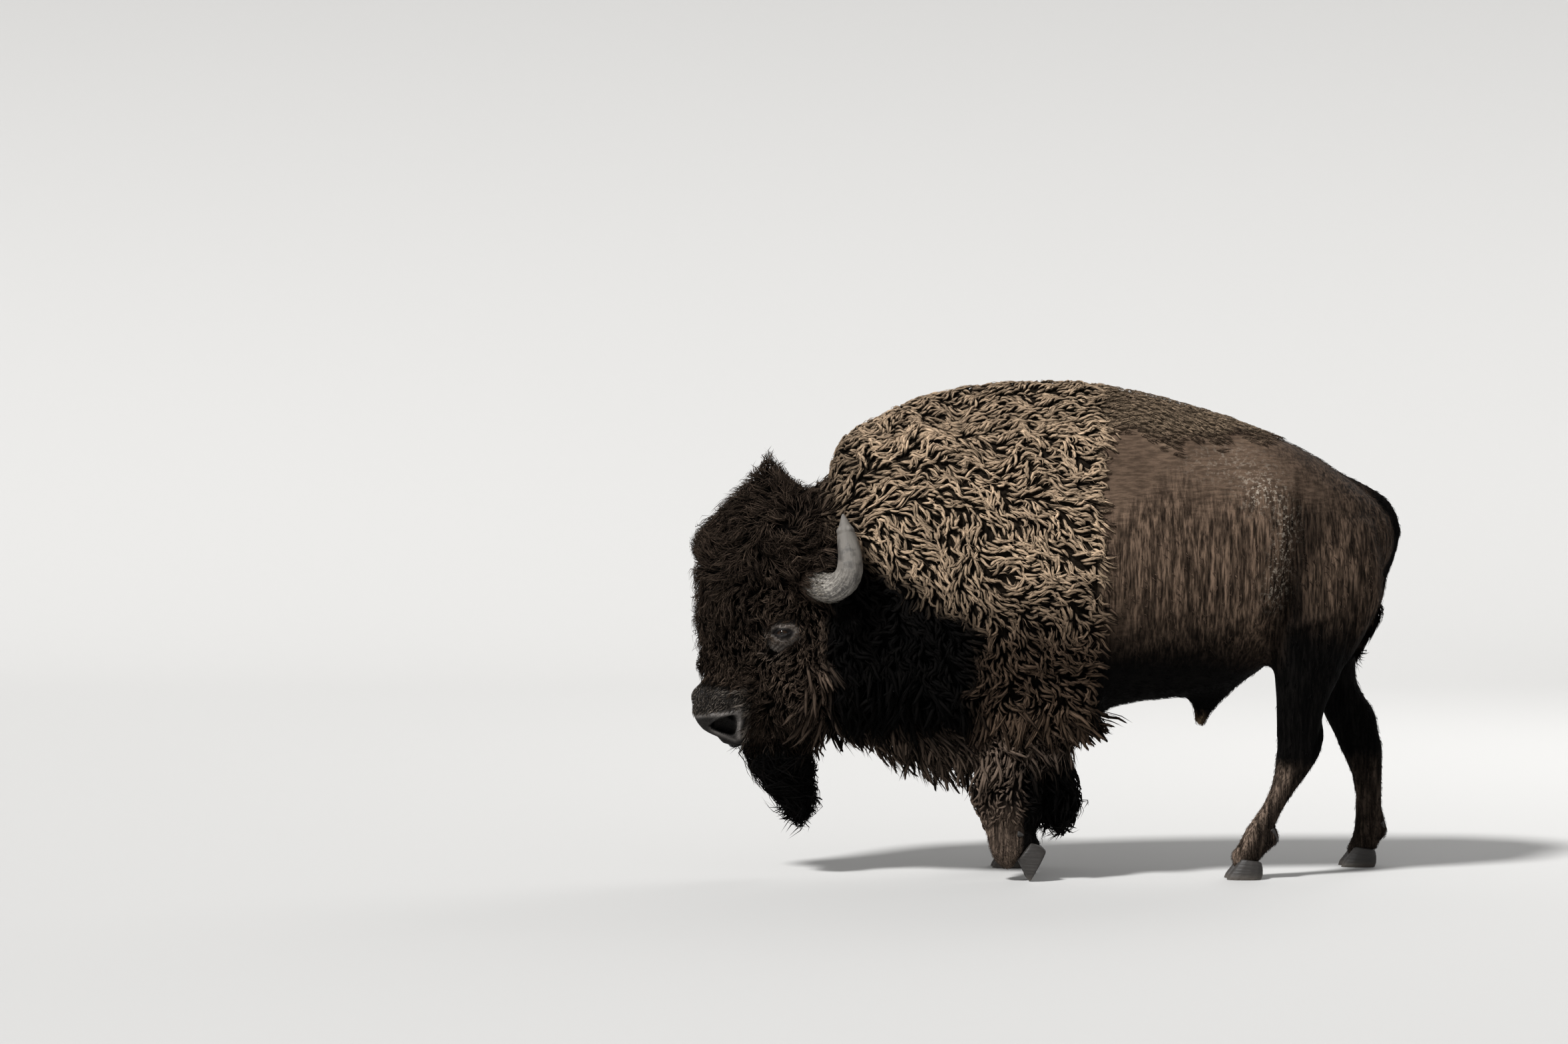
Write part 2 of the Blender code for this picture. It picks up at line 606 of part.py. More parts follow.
def part_flesh(whole):
    """Parts the whole into named nodes, front to back and then down each leg."""
    nodes = {}

    def keep(obj, made_of):
        obj.data.materials.clear()
        obj.data.materials.append(made_of)
        nodes[obj.name] = obj

    dark, cape, rear = (MATERIALS[k] for k in ("dark_coat", "cape", "rear_coat"))
    legs = {
        "fore_left": (-0.60, -0.045, FORELEG_OUTLINE),
        "fore_right": (0.045, 0.60, FORELEG_OUTLINE),
        "hind_left": (-0.60, -0.004, ((0.70, 0.800), (1.42, 0.960), (1.42, -0.1), (0.50, -0.1))),
        "hind_right": (0.004, 0.60, ((0.70, 0.800), (1.42, 0.960), (1.42, -0.1), (0.50, -0.1))),
    }
    limbs = {
        name: taken_out(whole, block(f"{name}_block", low, high, corners, HELPERS), f"leg_{name}", MODEL)
        for name, (low, high, corners) in legs.items()
    }
    head = halved(whole, (-0.790, 0, 1.460), (-1, 0, -0.045), "head", MODEL)
    keep(halved(head, (-1.110, 0, 0.468), (-0.06, 0, -1), "beard", MODEL), dark)
    keep(head, dark)
    keep(halved(whole, (-0.470, 0, 1.700), (-1, 0, 0.12), "neck", MODEL), cape)
    keep(halved(whole, (0.225, 0, 1.000), (-1, 0, 0.02), "trunk_shoulders", MODEL), cape)
    rump = halved(whole, (0.790, 0, 1.000), (1, 0, -0.10), "trunk_rump", MODEL)
    keep(rump, rear)
    whole.name = "trunk_barrel"
    HELPERS.objects.unlink(whole)
    MODEL.objects.link(whole)
    keep(whole, rear)
    lower = {
        "fore_left": ((-0.210, 0, 0.205), (0.16, 0, -1)),
        "fore_right": ((-0.100, 0, 0.225), (0.05, 0, -1)),
        "hind_left": ((0.885, 0, 0.385), (-0.42, 0, -1)),
        "hind_right": ((1.195, 0, 0.420), (-0.05, 0, -1)),
    }
    for side in ("left", "right"):
        corners = ((-0.035, 0.480), (0.40, 0.500), (0.40, 0.145), (-0.035, 0.185))
        behind = block(f"chap_block_{side}", -1, 1, corners, HELPERS)
        keep(taken_out(limbs[f"fore_{side}"], behind, f"leg_hair_{side}", MODEL), dark)
    for name, (point, normal) in lower.items():
        keep(halved(limbs[name], point, normal, f"lower_leg_{name}", MODEL), rear)
        limbs[name].name = f"upper_leg_{name}"
        keep(limbs[name], dark if "fore" in name else rear)
    for obj in nodes.values():
        keep_largest(obj)
    return nodes


def settle(objects):
    """Moves the finished model so that the origin is on the floor under the middle of its box."""
    points = np.array([obj.matrix_world @ Vector(c) for obj in objects for c in obj.bound_box])
    low, high = points.min(0), points.max(0)
    shift = Vector((-(low[0] + high[0]) / 2, -(low[1] + high[1]) / 2, -low[2]))
    for obj in objects:
        obj.location += shift


def main():
    horny = [make_horn(s, MODEL, MATERIALS["horn"]) for s in ("left", "right")]
    horny += [make_eye(s, MODEL, MATERIALS["eye"]) for s in ("left", "right")]
    horny += [make_ear(s, MODEL, MATERIALS["dark_coat"]) for s in ("left", "right")]
    horny += [make_tail(MODEL, MATERIALS["rear_coat"])]
    tuft = make_tail_tuft(horny[-1], MODEL, MATERIALS["dark_coat"])
    claws = [
        make_claw(foot, side, MODEL, MATERIALS["hoof"]) for foot in FEET for side in ("outer", "inner")
    ]
    dewclaws = [
        make_dewclaw(foot, side, MODEL, MATERIALS["hoof"]) for foot in FEET for side in ("outer", "inner")
    ]
    whole = make_flesh(MATERIALS["rear_coat"])
    for side in (-1, 1):
        x, y, z = EYE_CENTRE
        boolean(whole, hollow("eye_hollow", (x, (y + 0.022) * side, z), (0.046, 0.024, 0.040)), "DIFFERENCE")
        turn = (18 * side, 0, -24 * side)
        boolean(whole, hollow("nostril", (-1.222, 0.072 * side, 0.543), (0.040, 0.016, 0.028), turn), "DIFFERENCE")
    for piece in horny + dewclaws + [tuft]:
        boolean(whole, grown(piece, 2 * GAP, HELPERS), "DIFFERENCE")
    for foot in FEET:
        space = coronet_block(foot)
        for claw in claws:
            if foot in claw.name:
                boolean(claw, space, "INTERSECT")
        boolean(whole, grown(space, GAP, HELPERS), "DIFFERENCE")
    nodes = part_flesh(whole)
    bpy.context.view_layer.update()
    settle([*horny, *dewclaws, *claws, tuft, *nodes.values()])


clear_scene()
MODEL = new_collection("bison")
HELPERS = new_collection("cutters", hidden=True)
MATERIALS = {name: material(name) for name in COLOURS}
main()
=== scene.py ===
# %% [markdown]
# # A bull bison, modelled life size
# A museum animal is built in layers, and so is this one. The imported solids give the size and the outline
# out to the tips of the hair. Over them this lesson makes one skin, then eyes, horns, ears and hooves,
# and last the coat: tens of thousands of thin, closed tufts that follow the lie of the hair.
# All lengths are in metres. The head points along -X, the animal's left side faces -Y, and +Z is up.

# %% Set up
import math
from collections import namedtuple
from contextlib import contextmanager

import bmesh
import bpy
import numpy as np
from mathutils import Matrix, Vector


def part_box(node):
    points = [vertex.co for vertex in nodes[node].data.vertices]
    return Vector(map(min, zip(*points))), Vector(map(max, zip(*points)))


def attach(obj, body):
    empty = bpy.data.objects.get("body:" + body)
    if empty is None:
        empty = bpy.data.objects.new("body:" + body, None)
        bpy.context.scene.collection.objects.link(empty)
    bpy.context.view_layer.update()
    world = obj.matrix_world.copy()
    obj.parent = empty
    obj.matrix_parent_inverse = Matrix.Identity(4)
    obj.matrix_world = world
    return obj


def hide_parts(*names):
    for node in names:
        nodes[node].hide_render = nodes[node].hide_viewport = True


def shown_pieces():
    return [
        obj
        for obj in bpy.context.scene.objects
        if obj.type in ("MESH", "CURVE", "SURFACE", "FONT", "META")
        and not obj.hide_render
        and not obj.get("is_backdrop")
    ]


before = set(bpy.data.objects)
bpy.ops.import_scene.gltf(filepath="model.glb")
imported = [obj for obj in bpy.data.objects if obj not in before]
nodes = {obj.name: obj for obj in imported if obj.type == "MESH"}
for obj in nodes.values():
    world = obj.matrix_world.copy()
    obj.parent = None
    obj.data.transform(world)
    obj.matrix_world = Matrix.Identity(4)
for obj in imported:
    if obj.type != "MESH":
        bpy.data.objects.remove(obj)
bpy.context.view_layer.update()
UP = np.array((0.0, 0.0, 1.0))


def centre_of(node):
    """The middle of a node's box."""
    low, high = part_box(node)
    return np.array((low + high) / 2)


def placed(name, data):
    """A new object with this data, in the scene."""
    made = bpy.data.objects.new(name, data)
    scene.collection.objects.link(made)
    return made


scene = bpy.context.scene
EYE = centre_of("eye_left")
# the tables for the camera, the horns and the ears were drawn up with the eye at this x
EYE_IN_TABLES = -0.957
SHIFT = EYE[0] - EYE_IN_TABLES

# %% [markdown]
# ## Light and camera
# The animal stands on a plain pale floor under soft light. A wide sun lamp high on the left in front
# stands for the sun behind thin cloud. Two square lamps fill the near side and draw a rim from behind, and
# a weak sky leaves the belly and throat dark.
# The camera stands a long way off with a long lens, at the height of the hump and a little ahead of it.

# %% Light and camera
CAMERA_DISTANCE = 14.0
CAMERA_HEIGHT = 1.749
CAMERA_SIDE = math.radians(6.0)
AIM_LEFT = math.radians(3.885)
AIM_DOWN = math.radians(1.922)

scene.view_settings.view_transform = "Standard"

camera_data = bpy.data.cameras.new("camera")
camera_data.lens = 88.34
camera_data.sensor_width = 36.0
camera = placed("camera", camera_data)
camera.location = (
    SHIFT - CAMERA_DISTANCE * math.sin(CAMERA_SIDE),
    -CAMERA_DISTANCE * math.cos(CAMERA_SIDE),
    CAMERA_HEIGHT,
)
camera.rotation_euler = (math.pi / 2 - AIM_DOWN, 0.0, AIM_LEFT - CAMERA_SIDE)
scene.camera = camera


def facing(way):
    """The rotation that turns a lamp's beam along way."""
    return Vector(way).to_track_quat("-Z", "Y").to_euler()


def add_lamp(name, place, target, size, power):
    """A square lamp at place that faces target."""
    data = bpy.data.lights.new(name, "AREA")
    data.shape = "SQUARE"
    data.size = size
    data.energy = power
    lamp = placed(name, data)
    lamp.location = place
    lamp.rotation_euler = facing(Vector(target) - Vector(place))


sun_data = bpy.data.lights.new("sun", "SUN")
sun_data.energy = 4.6
sun_data.angle = math.radians(9)
sun = placed("sun", sun_data)
sun.rotation_euler = facing((0.60, 0.52, -0.90))
add_lamp("fill_lamp", (-3.5, -9.0, 2.4), (0.0, 0.0, 0.9), 5.0, 60.0)
add_lamp("rim_lamp", (4.5, 5.0, 5.5), (0.2, 0.0, 1.1), 4.0, 180.0)

world = bpy.data.worlds.new("sky")
world.use_nodes = True
world.node_tree.nodes["Background"].inputs["Color"].default_value = (0.86, 0.87, 0.89, 1.0)
world.node_tree.nodes["Background"].inputs["Strength"].default_value = 0.30
scene.world = world
print("camera", CAMERA_DISTANCE, "m away, with a lens of", camera_data.lens, "mm")

# %% [markdown]
# ## A small language for materials
# A material is a set of nodes, but it reads best as a sum. The class below wraps a node's output, so that
# plus, minus and times on it add Math nodes. Everything else comes from one method that adds a node.

# %% Shader expressions
# the outputs of an Attribute node
COLOUR, VECTOR, NUMBER = range(3)


def as_colour(value):
    """(r, g, b) as (r, g, b, 1), and anything else as it is."""
    return (*value, 1.0) if isinstance(value, tuple) and len(value) == 3 else value


class Shade:
    """A socket that can be added, subtracted and multiplied. Each operation adds one Math node."""

    def __init__(self, tree, socket):
        self.tree = tree
        self.socket = socket

    def node(self, kind, settings=None, output=0, **inputs):
        """Adds a node of a kind, sets its settings, then its inputs, and returns one of its outputs."""
        made = self.tree.nodes.new("ShaderNode" + kind)
        for name, value in (settings or {}).items():
            setattr(made, name, value)
        for name, value in inputs.items():
            key = int(name[1:]) if name[0] == "i" and name[1:].isdigit() else name
            if isinstance(value, Shade):
                self.tree.links.new(value.socket, made.inputs[key])
            else:
                made.inputs[key].default_value = value
        return Shade(self.tree, made.outputs[output])

    def maths(self, operation, other, swap=False):
        """One Math node of this and other, or of other and this where they swap."""
        first, second = (other, self) if swap else (self, other)
        return self.node("Math", {"operation": operation}, i0=first, i1=second)

    def __add__(self, other):
        return self.maths("ADD", other)

    __radd__ = __add__

    def __sub__(self, other):
        return self.maths("SUBTRACT", other)

    def __rsub__(self, other):
        return self.maths("SUBTRACT", other, swap=True)

    def __mul__(self, other):
        return self.maths("MULTIPLY", other)

    __rmul__ = __mul__

    def clamped(self):
        """This, kept from 0 to 1."""
        return self.node("Clamp", Value=self)

    def between(self, low, high):
        """0 below low, 1 above high, and a smooth step from one to the other."""
        return self.node(
            "MapRange", {"interpolation_type": "SMOOTHSTEP"}, Value=self, i1=float(low), i2=float(high)
        )

    def mixed(self, low, high):
        """The colour low where this is 0, and high where it is 1."""
        settings = {"data_type": "RGBA", "clamp_factor": True}
        return self.node("Mix", settings, 2, i0=self, i6=as_colour(low), i7=as_colour(high))

    def scaled(self, share):
        """This colour times share."""
        return self.node("VectorMath", {"operation": "SCALE"}, 0, Vector=self, Scale=share)

    def stored(self, name, output=NUMBER):
        """What the mesh stores under a name."""
        return self.node("Attribute", {"attribute_name": name}, output)

    def place(self):
        """The place on the object, in metres."""
        return self.node("TexCoord", None, 3)

    def stretched(self, scale):
        """This place with each axis times its scale: a large scale makes a pattern fine along that axis."""
        return self.node("Mapping", None, 0, Vector=self, Scale=scale)

    def noise(self, scale, detail, roughness=0.5):
        """A soft random field over this place."""
        return self.node("TexNoise", None, 0, Vector=self, Scale=scale, Detail=detail, Roughness=roughness)


def new_material(name, roughness):
    """A Principled material, its shader node, and a Shade to start expressions from."""
    made = bpy.data.materials.new(name)
    made.use_nodes = True
    shader = made.node_tree.nodes["Principled BSDF"]
    shader.inputs["Roughness"].default_value = roughness
    return made, shader, Shade(made.node_tree, None)


def feed(shader, socket, value):
    """Links an expression to one of the shader's sockets."""
    shader.id_data.links.new(value.socket, shader.inputs[socket])


def bumped(shader, height, strength, distance):
    """Feeds the shader's normal from a height, worked by a Bump node."""
    normal = height.node("Bump", Height=height, Strength=strength, Distance=distance)
    feed(shader, "Normal", normal)


# %% [markdown]
# ## Helpers for shapes
# Every shape here is worked out as whole arrays of points. These helpers step smoothly from 0 to 1, give a
# soft random field, which is the base of anything uneven, and turn arrays into a mesh. The floor is the
# first of them: flat under the animal, and curved up behind it.

# %% Fields


def step(low, high, value):
    """0 at low, 1 at high and a smooth S between them. low may be above high, which turns it round."""
    t = np.clip((value - low) / (high - low), 0.0, 1.0)
    return t * t * (3.0 - 2.0 * t)


def unit(vectors):
    """Each row scaled to length 1."""
    return vectors / np.maximum(np.linalg.norm(vectors, axis=-1, keepdims=True), 1e-9)


def lattice(cells, seed):
    """A random number from 0 to 1 for each whole-number cell, the same on every run."""
    x, y, z = (cells[..., k].astype(np.int64) for k in range(3))
    mixed = (x * 73856093) ^ (y * 19349663) ^ (z * 83492791) ^ (seed * 2654435761)
    mixed = (mixed ^ (mixed >> 13)) * 1274126177 & 0x7FFFFFFF
    return ((mixed ^ (mixed >> 16)) & 0xFFFFF) / 0xFFFFF


def soft_noise(points, size, seed):
    """A smooth random field from 0 to 1: random numbers at the corners of cubes, blended in between."""
    scaled = points / size
    cell = np.floor(scaled)
    t = scaled - cell
    t = t * t * (3.0 - 2.0 * t)
    total = 0.0
    for corner in np.ndindex(2, 2, 2):
        share = np.prod(np.where(np.array(corner), t, 1.0 - t), axis=-1)
        total = total + share * lattice(cell + np.array(corner), seed)
    return total


# %% Arrays to meshes


def mesh_of(name, points, faces, material=None):
    """A smooth mesh object from points (n, 3) and faces, an (m, 3) or (m, 4) array of point numbers."""
    mesh = bpy.data.meshes.new(name)
    corners = faces.shape[1]
    mesh.vertices.add(len(points))
    mesh.vertices.foreach_set("co", np.ascontiguousarray(points, np.float32).ravel())
    mesh.loops.add(faces.size)
    mesh.loops.foreach_set("vertex_index", np.ascontiguousarray(faces, np.int32).ravel())
    mesh.polygons.add(len(faces))
    mesh.polygons.foreach_set("loop_start", np.arange(0, faces.size, corners, dtype=np.int32))
    mesh.polygons.foreach_set("use_smooth", np.ones(len(faces), bool))
    mesh.update(calc_edges=True)
    if material:
        mesh.materials.append(material)
    return placed(name, mesh)


def strip_faces(rows, columns):
    """Squares between rows of points, with the last column joined to the first."""
    r, c = np.meshgrid(np.arange(rows - 1), np.arange(columns), indexing="ij")
    a = r * columns + c
    b = r * columns + (c + 1) % columns
    return np.column_stack([a.ravel(), b.ravel(), (b + columns).ravel(), (a + columns).ravel()])


def tube_mesh(name, grid):
    """An open tube from a grid of points (rows, columns, 3)."""
    return mesh_of(name, grid.reshape(-1, 3), strip_faces(*grid.shape[:2]))


def turns(count):
    """Even steps once round, from 0."""
    return np.linspace(0, 2 * math.pi, count + 1)[:-1]


@contextmanager
def editing(obj):
    """Opens an object's mesh for bmesh, and writes it back at the end."""
    bm = bmesh.new()
    bm.from_mesh(obj.data)
    yield bm
    bm.to_mesh(obj.data)
    bm.free()


def points_of(obj):
    """The mesh's points (n, 3)."""
    points = np.empty(len(obj.data.vertices) * 3, np.float32)
    obj.data.vertices.foreach_get("co", points)
    return points.reshape(-1, 3).astype(float)


def normals_of(obj):
    """The normal at each point (n, 3)."""
    normals = np.empty(len(obj.data.vertices) * 3, np.float32)
    obj.data.vertex_normals.foreach_get("vector", normals)
    return normals.reshape(-1, 3).astype(float)


def set_points(obj, points):
    """Moves the mesh's points."""
    obj.data.vertices.foreach_set("co", points.astype(np.float32).ravel())
    obj.data.update()


def set_values(obj, name, values):
    """Stores one number or one colour for each point of the mesh."""
    colour = values.ndim == 2
    layer = obj.data.attributes.new(name, "FLOAT_COLOR" if colour else "FLOAT", "POINT")
    if colour:
        values = np.column_stack([values, np.ones(len(values))])
    layer.data.foreach_set("color" if colour else "value", values.astype(np.float32).ravel())


def relaxed(points, edges, amount, passes):
    """Each point moved by a share of the way to the mean of its neighbours, a few times over."""
    ends = np.concatenate([edges[:, 0], edges[:, 1]])
    others = np.concatenate([edges[:, 1], edges[:, 0]])
    count = np.maximum(np.bincount(ends, minlength=len(points)), 1)[:, None]
    amount = np.reshape(amount, (-1, 1)) if np.ndim(amount) else amount
    for _ in range(passes):
        total = np.column_stack(
            [np.bincount(ends, points[others, k], minlength=len(points)) for k in range(3)]
        )
        points = points + amount * (total / count - points)
    return points


def edges_of(obj):
    """The point numbers at the two ends of each edge (n, 2)."""
    edges = np.empty(len(obj.data.edges) * 2, np.int32)
    obj.data.edges.foreach_get("vertices", edges)
    return edges.reshape(-1, 2)


# %% Floor
FLOOR_HALF = 60.0
BEND_START, BEND_RADIUS = 9.0, 7.0
floor_material, floor_shader, _ = new_material("pale_floor", 0.9)
floor_shader.inputs["Base Color"].default_value = (0.50, 0.495, 0.485, 1.0)
bend = np.linspace(0, math.pi / 2, 25)
wall_y = BEND_START + BEND_RADIUS
floor_y = np.concatenate([[-FLOOR_HALF], BEND_START + BEND_RADIUS * np.sin(bend), [wall_y]])
floor_z = np.concatenate([[0.0], BEND_RADIUS - BEND_RADIUS * np.cos(bend), [30.0]])
floor_points = np.array([(x, y, z) for x in (-FLOOR_HALF, FLOOR_HALF) for y, z in zip(floor_y, floor_z)])
row = np.arange(len(floor_y) - 1)
floor_faces = np.column_stack([row, row + len(floor_y), row + len(floor_y) + 1, row + 1])
floor = mesh_of("floor", floor_points, floor_faces, floor_material)
floor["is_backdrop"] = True
print("floor", len(floor_faces), "faces, flat to y", BEND_START, "and curved up behind")

# %% [markdown]
# ## One skin
# The solids reach to the tips of the hair, in named pieces. The animal has one skin below that. So the
# flesh pieces are joined, a voxel remesh welds them into one even mesh, and the points move inwards by
# the depth of the coat: 70 to 80 mm under the crown's mop, about 20 mm under the cape, and 6 to 12 mm on
# the short-haired rear. A deep move in one go would fold the mesh, so it is made in small steps with
# smoothing between them.

# %% Join the flesh
SKIN_VOXEL = 0.0135
PASTERN = Matrix.Diagonal((0.037, 0.045, 0.037, 1.0))
FLESH = [
    name for name in nodes
    if name in ("head", "neck", "tail") or name.startswith(("trunk_", "upper_leg", "lower_leg"))
]


def joined(names):
    """One mesh from copies of several nodes, with the points that coincide merged."""
    points, faces, count = [], [], 0
    for name in names:
        mesh = nodes[name].data
        mesh.calc_loop_triangles()
        found = np.empty(len(mesh.loop_triangles) * 3, np.int32)
        mesh.loop_triangles.foreach_get("vertices", found)
        points.append(points_of(nodes[name]))
        faces.append(found.reshape(-1, 3) + count)
        count += len(mesh.vertices)
    made = mesh_of("skin", np.concatenate(points), np.concatenate(faces))
    with editing(made) as bm:
        bmesh.ops.remove_doubles(bm, verts=bm.verts, dist=1e-6)
    return made


def applied(obj):
    """Replaces the object's mesh by the one that its modifiers make."""
    graph = bpy.context.evaluated_depsgraph_get()
    obj.data = bpy.data.meshes.new_from_object(obj.evaluated_get(graph))
    obj.modifiers.clear()
    return obj


def remeshed(obj, voxel):
    """The same form, as even squares of one size."""
    remesh = obj.modifiers.new("weld", "REMESH")
    remesh.mode = "VOXEL"
    remesh.voxel_size = voxel
    return applied(obj)


def with_pasterns(obj):
    """Adds flesh from the dewclaws of each foot to the top of its hooves: four ellipsoids in a row."""
    with editing(obj) as bm:
        for foot in ("fore_left", "fore_right", "hind_left", "hind_right"):
            claws = (centre_of(f"dewclaw_{foot}_outer") + centre_of(f"dewclaw_{foot}_inner")) / 2
            low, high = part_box(f"hoof_{foot}_outer")
            inner_low, inner_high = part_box(f"hoof_{foot}_inner")
            middle_y = (min(low.y, inner_low.y) + max(high.y, inner_high.y)) / 2
            top = np.array(((low.x + high.x) / 2, middle_y, high.z - 0.010))
            for share in (0.15, 0.45, 0.75, 1.0):
                place = Matrix.Translation(claws + share * (top - claws))
                bmesh.ops.create_icosphere(bm, subdivisions=3, radius=1.0, matrix=place @ PASTERN)
    return obj


skin = remeshed(with_pasterns(joined(FLESH)), SKIN_VOXEL)
print("skin", len(skin.data.vertices), "points from", len(FLESH), "pieces")

# %% Depth of the coat


def head_share(p):
    """1 on the head, 0 on the neck and behind."""
    return step(-0.775, -0.835, p[:, 0])


def coat_depth(p):
    """How far the skin lies under the tips of the hair, for each point, in metres."""
    x, y, z = p.T
    head = head_share(p)
    muzzle = step(-1.06, -1.12, x) * step(0.72, 0.64, z)
    crown = head * step(1.22, 1.42, z)
    face = 0.034 + 0.036 * crown + 0.012 * head * step(-1.10, -1.22, x)
    eye = np.exp(-((x - EYE[0]) ** 2 + (z - EYE[2]) ** 2) / 0.075**2)
    face = face * (1 - 0.62 * eye)
    face = face * (1 - muzzle) + 0.004 * muzzle
    cape = 0.022 - 0.004 * step(1.60, 1.75, z) + 0.035 * step(0.62, 0.45, z) * step(0.05, -0.10, x)
    rear = 0.006 + 0.006 * step(1.50, 1.65, z)
    body = rear + (cape - rear) * step(0.20, 0.12, x)
    leg = step(0.50, 0.42, z)
    foreleg = 0.004 + 0.016 * step(0.26, 0.38, z)
    shank = np.where(x < 0.4, foreleg, 0.004) * step(0.02, 0.20, z) + 0.001
    body = body * (1 - leg) + leg * shank
    tail = step(1.20, 1.24, x) * step(0.06, 0.04, np.abs(y))
    body = body * (1 - 0.4 * tail)
    return head * face + (1 - head) * body


def inset(obj, rounds=8):
    """Moves the mesh in along its normals by the coat's depth, in rounds with smoothing between."""
    start_points = points_of(obj)
    edges = edges_of(obj)
    depth = coat_depth(start_points)
    for _ in range(rounds):
        p = points_of(obj) - normals_of(obj) * depth[:, None] / rounds
        set_points(obj, relaxed(p, edges, np.clip(depth * 12 - 0.05, 0.0, 0.5), 2))


inset(skin)
legs = step(0.45, 0.35, points_of(skin)[:, 2])
set_points(skin, relaxed(points_of(skin), edges_of(skin), 0.5 * (1 - legs), 3))
crown_top = step(1.30, 1.36, points_of(skin)[:, 2]) * head_share(points_of(skin))
set_points(skin, relaxed(points_of(skin), edges_of(skin), 0.5 * crown_top, 40))
print("skin box", np.round(points_of(skin).min(0), 3), np.round(points_of(skin).max(0), 3))

# %% [markdown]
# ## Muzzle, nostrils and muscle
# The remesh is too coarse for the muzzle and the eyes, so the faces there are divided once more, and those
# of the muzzle's front a second time. Then the skin is carved by formulas. Each pushes the points by an
# amount that depends on where they are, along their normals on the body and in x, y and z on the muzzle.
# The nostril is the one deep form, a drop-shaped pit that looks outwards.

# %% Finer faces
NOSE = np.array((-1.222, 0.546))


def refined(obj, wanted):
    """Halves the edges whose two ends both satisfy wanted(points)."""
    with editing(obj) as bm:
        inside = wanted(points_of(obj))
        bm.verts.ensure_lookup_table()
        edges = [e for e in bm.edges if inside[e.verts[0].index] and inside[e.verts[1].index]]
        bmesh.ops.subdivide_edges(bm, edges=edges, cuts=1, use_grid_fill=True)
        bmesh.ops.triangulate(bm, faces=[f for f in bm.faces if len(f.verts) > 4])


def near_muzzle(p):
    """True on the muzzle."""
    return (p[:, 0] < -1.03) & (p[:, 2] < 0.715)


def near_eye(p):
    """True within 85 mm of the eye, in the side view."""
    return np.hypot(p[:, 0] - EYE[0], p[:, 2] - EYE[2]) < 0.085


refined(skin, lambda p: near_muzzle(p) | near_eye(p))
refined(skin, lambda p: near_muzzle(p) & (p[:, 0] < -1.07))
set_points(skin, relaxed(points_of(skin), edges_of(skin), 0.5 * near_muzzle(points_of(skin)), 4))
print("skin", len(skin.data.vertices), "points", len(skin.data.polygons), "faces")

# %% Carving
# x and z of two points on the thigh's front edge, below and above
THIGH_EDGE = ((0.775, 0.90), (0.866, 1.376))


def across(x, z, start, end):
    """For a line from start to end in the side view: the share run along it, and the distance off it."""
    start, end = np.array(start), np.array(end)
    run = end - start
    dx, dz = x - start[0], z - start[1]
    share = (dx * run[0] + dz * run[1]) / (run @ run)
    off = (dx * run[1] - dz * run[0]) / np.hypot(*run)
    return share, off


def bell(value, width):
    """1 at zero and falling away to both sides."""
    return np.exp(-((value / width) ** 2))


def carving(p):
    """The height to add along the normal, in metres: pits below zero and ridges above it."""
    x, y, z = p.T
    side = step(0.03, 0.07, np.abs(y))
    # the thigh's front edge stands over a hollow flank, with the hip bone above it
    share, off = across(x, z, *THIGH_EDGE)
    edge = step(-0.15, 0.1, share) * step(1.25, 0.9, share) * side
    up = edge * (0.018 * bell(off + 0.045, 0.055) - 0.024 * bell(off - 0.03, 0.045))
    up = up + 0.016 * side * bell(x - 0.735, 0.05) * bell(z - 1.41, 0.045)
    # the point of the rump, and the groove down the back of the thigh
    up = up + 0.010 * side * bell(x - 1.10, 0.07) * bell(z - 1.36, 0.05)
    share, off = across(x, z, (1.04, 0.74), (1.13, 1.20))
    up = up - 0.010 * bell(off, 0.018) * step(-0.1, 0.2, share) * step(1.1, 0.8, share) * side
    # the fold of skin over the stifle
    share, off = across(x, z, (0.80, 0.895), (1.00, 0.96))
    up = up + 0.009 * bell(off, 0.02) * step(-0.1, 0.15, share) * step(1.15, 0.8, share) * side
    # the groove before the tendon of the left hind leg, which is the one that shows
    share, off = across(x, z, (0.93, 0.42), (1.02, 0.66))
    up = up - 0.008 * bell(off, 0.014) * step(-0.1, 0.2, share) * step(1.1, 0.8, share) * step(0, -0.08, y)
    # uneven flesh
    up = up + 0.007 * (soft_noise(p, 0.16, 4) - 0.5) + 0.003 * (soft_noise(p, 0.05, 5) - 0.5)
    return up


def nostril(x, z):
    """
    Two measures of the drop-shaped nostril. wide runs from 0 at its point to 1 at its blunt back edge. tall
    is the height off the middle line / the half height there, 4 mm + 38 mm wide^0.6.
    """
    wide = (x - NOSE[0]) / 0.084
    half = 0.004 + 0.038 * np.clip(wide, 0.0, 1.0) ** 0.6
    return wide, np.abs(z - NOSE[1] - 0.004 * wide) / half


